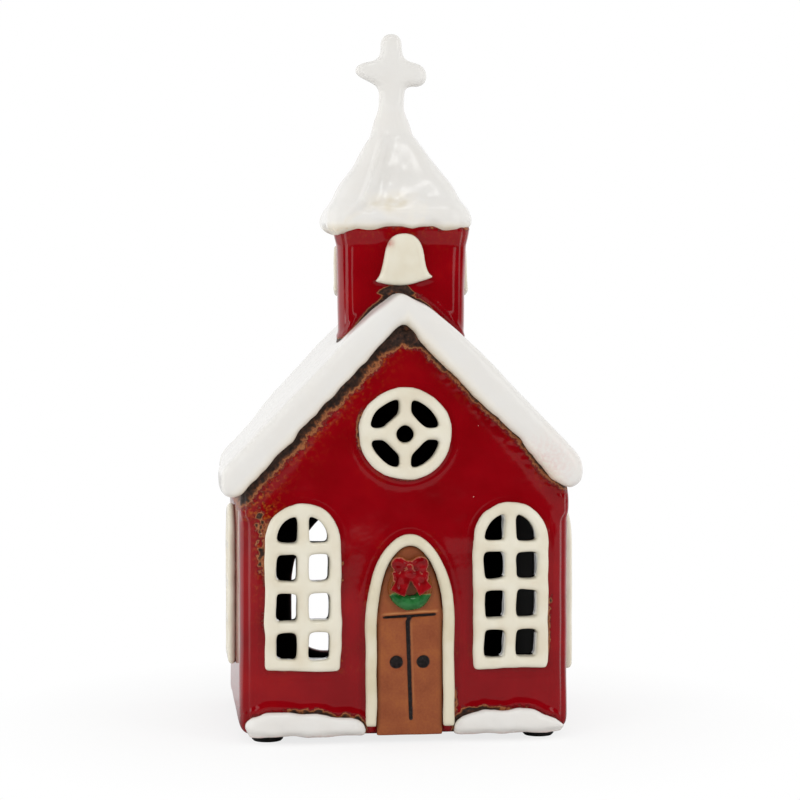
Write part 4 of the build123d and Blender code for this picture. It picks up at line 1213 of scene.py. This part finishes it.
class CHURCH_OT_drifts(bpy.types.Operator):
    """Builds the two snow drifts at the foot of the front wall, low at both ends"""

    bl_idname = "church.drifts"
    bl_label = "Snow drifts"

    # For each drift its side, the share of its height that is left at the outer and the inner end, and the
    # length of the outer slope in millimetres
    ends = {"left_snow_drift": (-1, 0.7, 0.94, 8.0), "right_snow_drift": (1, 0.64, 0.8, 12.0)}

    def execute(self, context):
        finish = finish_of("tin_white_gloss_glaze", snow_glaze_finish, context.scene.church_glazes)
        walls = tree_of(*WALLS)
        for seed, node in enumerate(DRIFTS):
            low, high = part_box(node)
            side, outer_share, inner_share, slope = self.ends[node]
            bm = knead(cad_copy(node), 0.55, 9)
            for v in bm.verts:
                from_low, from_high = (v.co.x - low.x) / MM, (high.x - v.co.x) / MM
                end = min(from_low, from_high)
                inner, outer = (from_low, from_high) if side > 0 else (from_high, from_low)
                tall = 1.0 - (1.0 - outer_share) * smoothstep(slope, -1.0, outer)
                tall *= 1.0 - (1.0 - inner_share) * smoothstep(5.0, -1.5, inner)
                tall += 0.12 * wave(Vector((v.co.x, 0.0, 0.0)), 8.0, 142)
                tuck = smoothstep(7.0, 0.0, outer) * smoothstep(5.0, 0.0, (v.co.z - low.z) / MM)
                v.co.x -= 1.3 * side * MM * tuck
                v.co.z = low.z + (v.co.z - low.z) * tall
                fore = smoothstep(0.0, 0.6, (low.y + high.y - 2.0 * v.co.y) / (high.y - low.y))
                up = (v.co.z - low.z) / MM
                v.co.y += 1.3 * MM * fore * fade(0.0, 2.4, up)
                v.co.y -= 0.7 * MM * fore * smoothstep(0.0, 3.5, up) * smoothstep(0.0, 4.0, end)
            hand_lumps(bm, 7.0, 0.8 * MM, 140 + seed)
            hand_lumps(bm, 3.5, 0.2 * MM, 144 + seed)
            set_values(bm, edge_mm=lambda v: 1.2 * gap(walls, v.co) + 0.25,
                       blush=lambda v: 0.8 * fade(0.0, 1.4, (v.co.z - low.z) / MM))
            piece(bm, node.replace("_snow_drift", "_drift"), "house", "snow_glaze", finish, node)
        return {"FINISHED"}


class CHURCH_OT_base(bpy.types.Operator):
    """Gives the floor slab its black wash and the feet their rubber"""

    bl_idname = "church.base"
    bl_label = "Floor and feet"

    def execute(self, context):
        wash = finish_of("dull_black_wash", plain_finish, "#0c0a09", "#1d1714", 1.5, 0.6, 0.2, IOR=1.45)
        rubber = finish_of("matt_black_rubber", plain_finish, "#0d0d0d", "#1a1a1a", 0.7, 0.65, 0.1, IOR=1.5)
        dress({"floor_slab": wash, **{foot: rubber for foot in FEET}})
        return {"FINISHED"}


class CHURCH_OT_tealight(bpy.types.Operator):
    """Gives the tealight its metal, wax and cotton"""

    bl_idname = "church.tealight"
    bl_label = "Tealight"

    def execute(self, context):
        low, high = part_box("tealight_cup")
        dress({
            "tealight_cup": finish_of("drawn_aluminium", fluted_sheet_finish, (low + high) / 2.0, 56.0),
            "tealight_wax": finish_of(
                "paraffin_wax", plain_finish, "#efece4", "#f6f3ec", 5.0, 0.4, 0.1, IOR=1.43),
            "tealight_wick": finish_of(
                "braided_cotton", plain_finish, "#cfc7b4", "#eee8d8", 0.5, 0.8, 0.2, IOR=1.5),
            "wick_sustainer": finish_of(
                "tinned_sheet", plain_finish, "#a9a9a6", "#c9c9c6", 1.0, 0.3, 0.05, Metallic=1.0),
        })
        return {"FINISHED"}


class CHURCH_OT_stage(bpy.types.Operator):
    """Sets the table, the white room, the softboxes and the camera"""

    bl_idname = "church.stage"
    bl_label = "Stage"

    # What every lamp points at
    aim = (0.0, 0.0, 0.11)
    # Powers of the narrow lamps that show as streaks in the glaze, in watts
    left_strip, front_strip = 0.8, 0.42

    def softbox(self, name, power, width, height, place, mirrored=True):
        """Hangs a softbox; one that isn't mirrored lights the glaze without showing in it."""
        lamp = bpy.data.lights.new(name, "AREA")
        lamp.shape = "RECTANGLE"
        lamp.size, lamp.size_y, lamp.energy = width, height, power
        obj = bpy.data.objects.new(name, lamp)
        bpy.context.scene.collection.objects.link(obj)
        obj.location = place
        obj.visible_glossy = mirrored
        obj.rotation_euler = (Vector(self.aim) - Vector(place)).to_track_quat("-Z", "Y").to_euler()

    def table(self):
        """Lays a pale matt table that fades to white away from the house and mirrors grey in its front."""
        bm = bmesh.new()
        bmesh.ops.create_grid(
            bm, x_segments=1, y_segments=1, size=1.0, matrix=Matrix.Diagonal((1.6, 1.4, 1.0, 1.0)))
        bmesh.ops.translate(bm, verts=bm.verts, vec=(0.0, 0.7, 0.0))
        mesh = bpy.data.meshes.new("table")
        bm.to_mesh(mesh)
        bm.free()
        material, tree, matt, place = new_finish("pale_table", Roughness=0.9, Specular_IOR_Level=0.0)
        path = add_node(tree, "LightPath").outputs
        depth = add_node(tree, "SeparateXYZ", {0: place}).outputs["Y"]
        front = remap(tree, depth, -0.03, 0.03, 1.0, 0.0)
        front = maths(tree, "MULTIPLY", path["Is Glossy Ray"], front)
        tone = blend(tree, front, "#f4f4f4", "#989898")
        fill_inputs(tree, matt, {"Base Color": tone})
        away = add_node(tree, "VectorMath", {0: place}, operation="LENGTH")
        clear = remap(tree, away, 0.06, 0.15, 0.78, 1.0)
        share = maths(tree, "MULTIPLY", path["Is Camera Ray"], clear)
        glow = add_node(tree, "Emission", {"Color": (1.0, 1.0, 1.0, 1.0), "Strength": 1.0})
        both = add_node(tree, "MixShader", {0: share, 1: matt, 2: glow})
        fill_inputs(tree, tree.nodes["Material Output"], {"Surface": both})
        mesh.materials.append(material)
        obj = bpy.data.objects.new("table", mesh)
        bpy.context.scene.collection.objects.link(obj)

    def room(self, fill):
        """Makes the room white to the eye and, behind the house, in the glaze, with an even fill."""
        world = bpy.data.worlds.new("white_room")
        bpy.context.scene.world = world
        world.use_nodes = True
        tree = world.node_tree
        path = add_node(tree, "LightPath").outputs
        towards = add_node(tree, "TexCoord").outputs["Generated"]
        across = add_node(tree, "SeparateXYZ", {0: towards}).outputs["Y"]
        lit = remap(tree, across, -0.15, 0.35)
        gloss = maths(tree, "MULTIPLY", path["Is Glossy Ray"], lit)
        seen, through = path["Is Camera Ray"], path["Is Transmission Ray"]
        shown = maths(tree, "MAXIMUM", seen, through)
        shown = maths(tree, "MAXIMUM", shown, gloss)
        diffuse = maths(tree, "MULTIPLY", path["Is Diffuse Ray"], fill)
        level = maths(tree, "MAXIMUM", shown, diffuse)
        fill_inputs(tree, tree.nodes["Background"], {"Color": (1.0, 1.0, 1.0, 1.0), "Strength": level})

    def execute(self, context):
        studio = context.scene.church_studio
        self.table()
        self.room(studio.fill)
        sides = ((-1.0, "left"), (1.0, "right"))
        for side, name in sides:
            self.softbox(name + "_side_softbox", studio.side_power, 0.7, 1.0, (1.05 * side, 0.1, 0.45), False)
            self.softbox(
                name + "_front_softbox", studio.front_power, 0.6, 0.8, (0.95 * side, -0.95, 0.6), False)
        self.softbox("left_strip_light", self.left_strip, 0.12, 0.9, (-1.1, 0.0, 0.4))
        for side, name in sides:
            self.softbox(name + "_front_strip", self.front_strip, 0.2, 0.6, (0.78 * side, -0.95, 0.35))
        self.softbox("top_softbox", studio.top_power, 0.3, 0.22, (0.0, -0.5, 1.15))
        lens = bpy.data.cameras.new("camera")
        lens.lens, lens.sensor_width, lens.clip_start = studio.lens, 36.0, 0.02
        camera = bpy.data.objects.new("camera", lens)
        context.scene.collection.objects.link(camera)
        yaw, pitch = studio.camera_yaw, studio.camera_pitch
        ahead = Vector((math.sin(yaw) * math.cos(pitch), math.cos(yaw) * math.cos(pitch), -math.sin(pitch)))
        camera.location = studio.camera_place
        camera.rotation_euler = ahead.to_track_quat("-Z", "Y").to_euler()
        context.scene.camera = camera
        context.scene.view_settings.view_transform = "Standard"
        return {"FINISHED"}


# The snow and the drifts come first, because the glaze of walls and belfry draws back from them
STEPS = (CHURCH_OT_roof, CHURCH_OT_snow, CHURCH_OT_drifts, CHURCH_OT_walls, CHURCH_OT_belfry, CHURCH_OT_spire,
         CHURCH_OT_bells, CHURCH_OT_windows, CHURCH_OT_door, CHURCH_OT_wreath, CHURCH_OT_base,
         CHURCH_OT_tealight, CHURCH_OT_stage)


class CHURCH_PT_sidebar(bpy.types.Panel):
    """Lists the church's steps, sizes and colours"""

    bl_idname = "CHURCH_PT_sidebar"
    bl_label = "Village church"
    bl_space_type = "VIEW_3D"
    bl_region_type = "UI"
    bl_category = "Church"

    def draw(self, context):
        for step in STEPS:
            self.layout.operator(step.bl_idname)
        for group in (context.scene.church_clay, context.scene.church_glazes, context.scene.church_studio):
            box = self.layout.box()
            for name in group.__annotations__:
                box.prop(group, name)


GROUPS = {"church_clay": CHURCH_PG_clay, "church_glazes": CHURCH_PG_glazes, "church_studio": CHURCH_PG_studio}


def register():
    """Adds the groups of properties, the operators and the panel."""
    for cls in (*GROUPS.values(), *STEPS, CHURCH_PT_sidebar):
        bpy.utils.register_class(cls)
    for name, group in GROUPS.items():
        setattr(bpy.types.Scene, name, bpy.props.PointerProperty(type=group))


def unregister():
    """Takes them away again."""
    for name in GROUPS:
        delattr(bpy.types.Scene, name)
    for cls in reversed((*GROUPS.values(), *STEPS, CHURCH_PT_sidebar)):
        bpy.utils.unregister_class(cls)


def main():
    """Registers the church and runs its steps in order."""
    register()
    for step in STEPS:
        group, name = step.bl_idname.split(".")
        getattr(getattr(bpy.ops, group), name)()


if __name__ == "__main__":
    main()
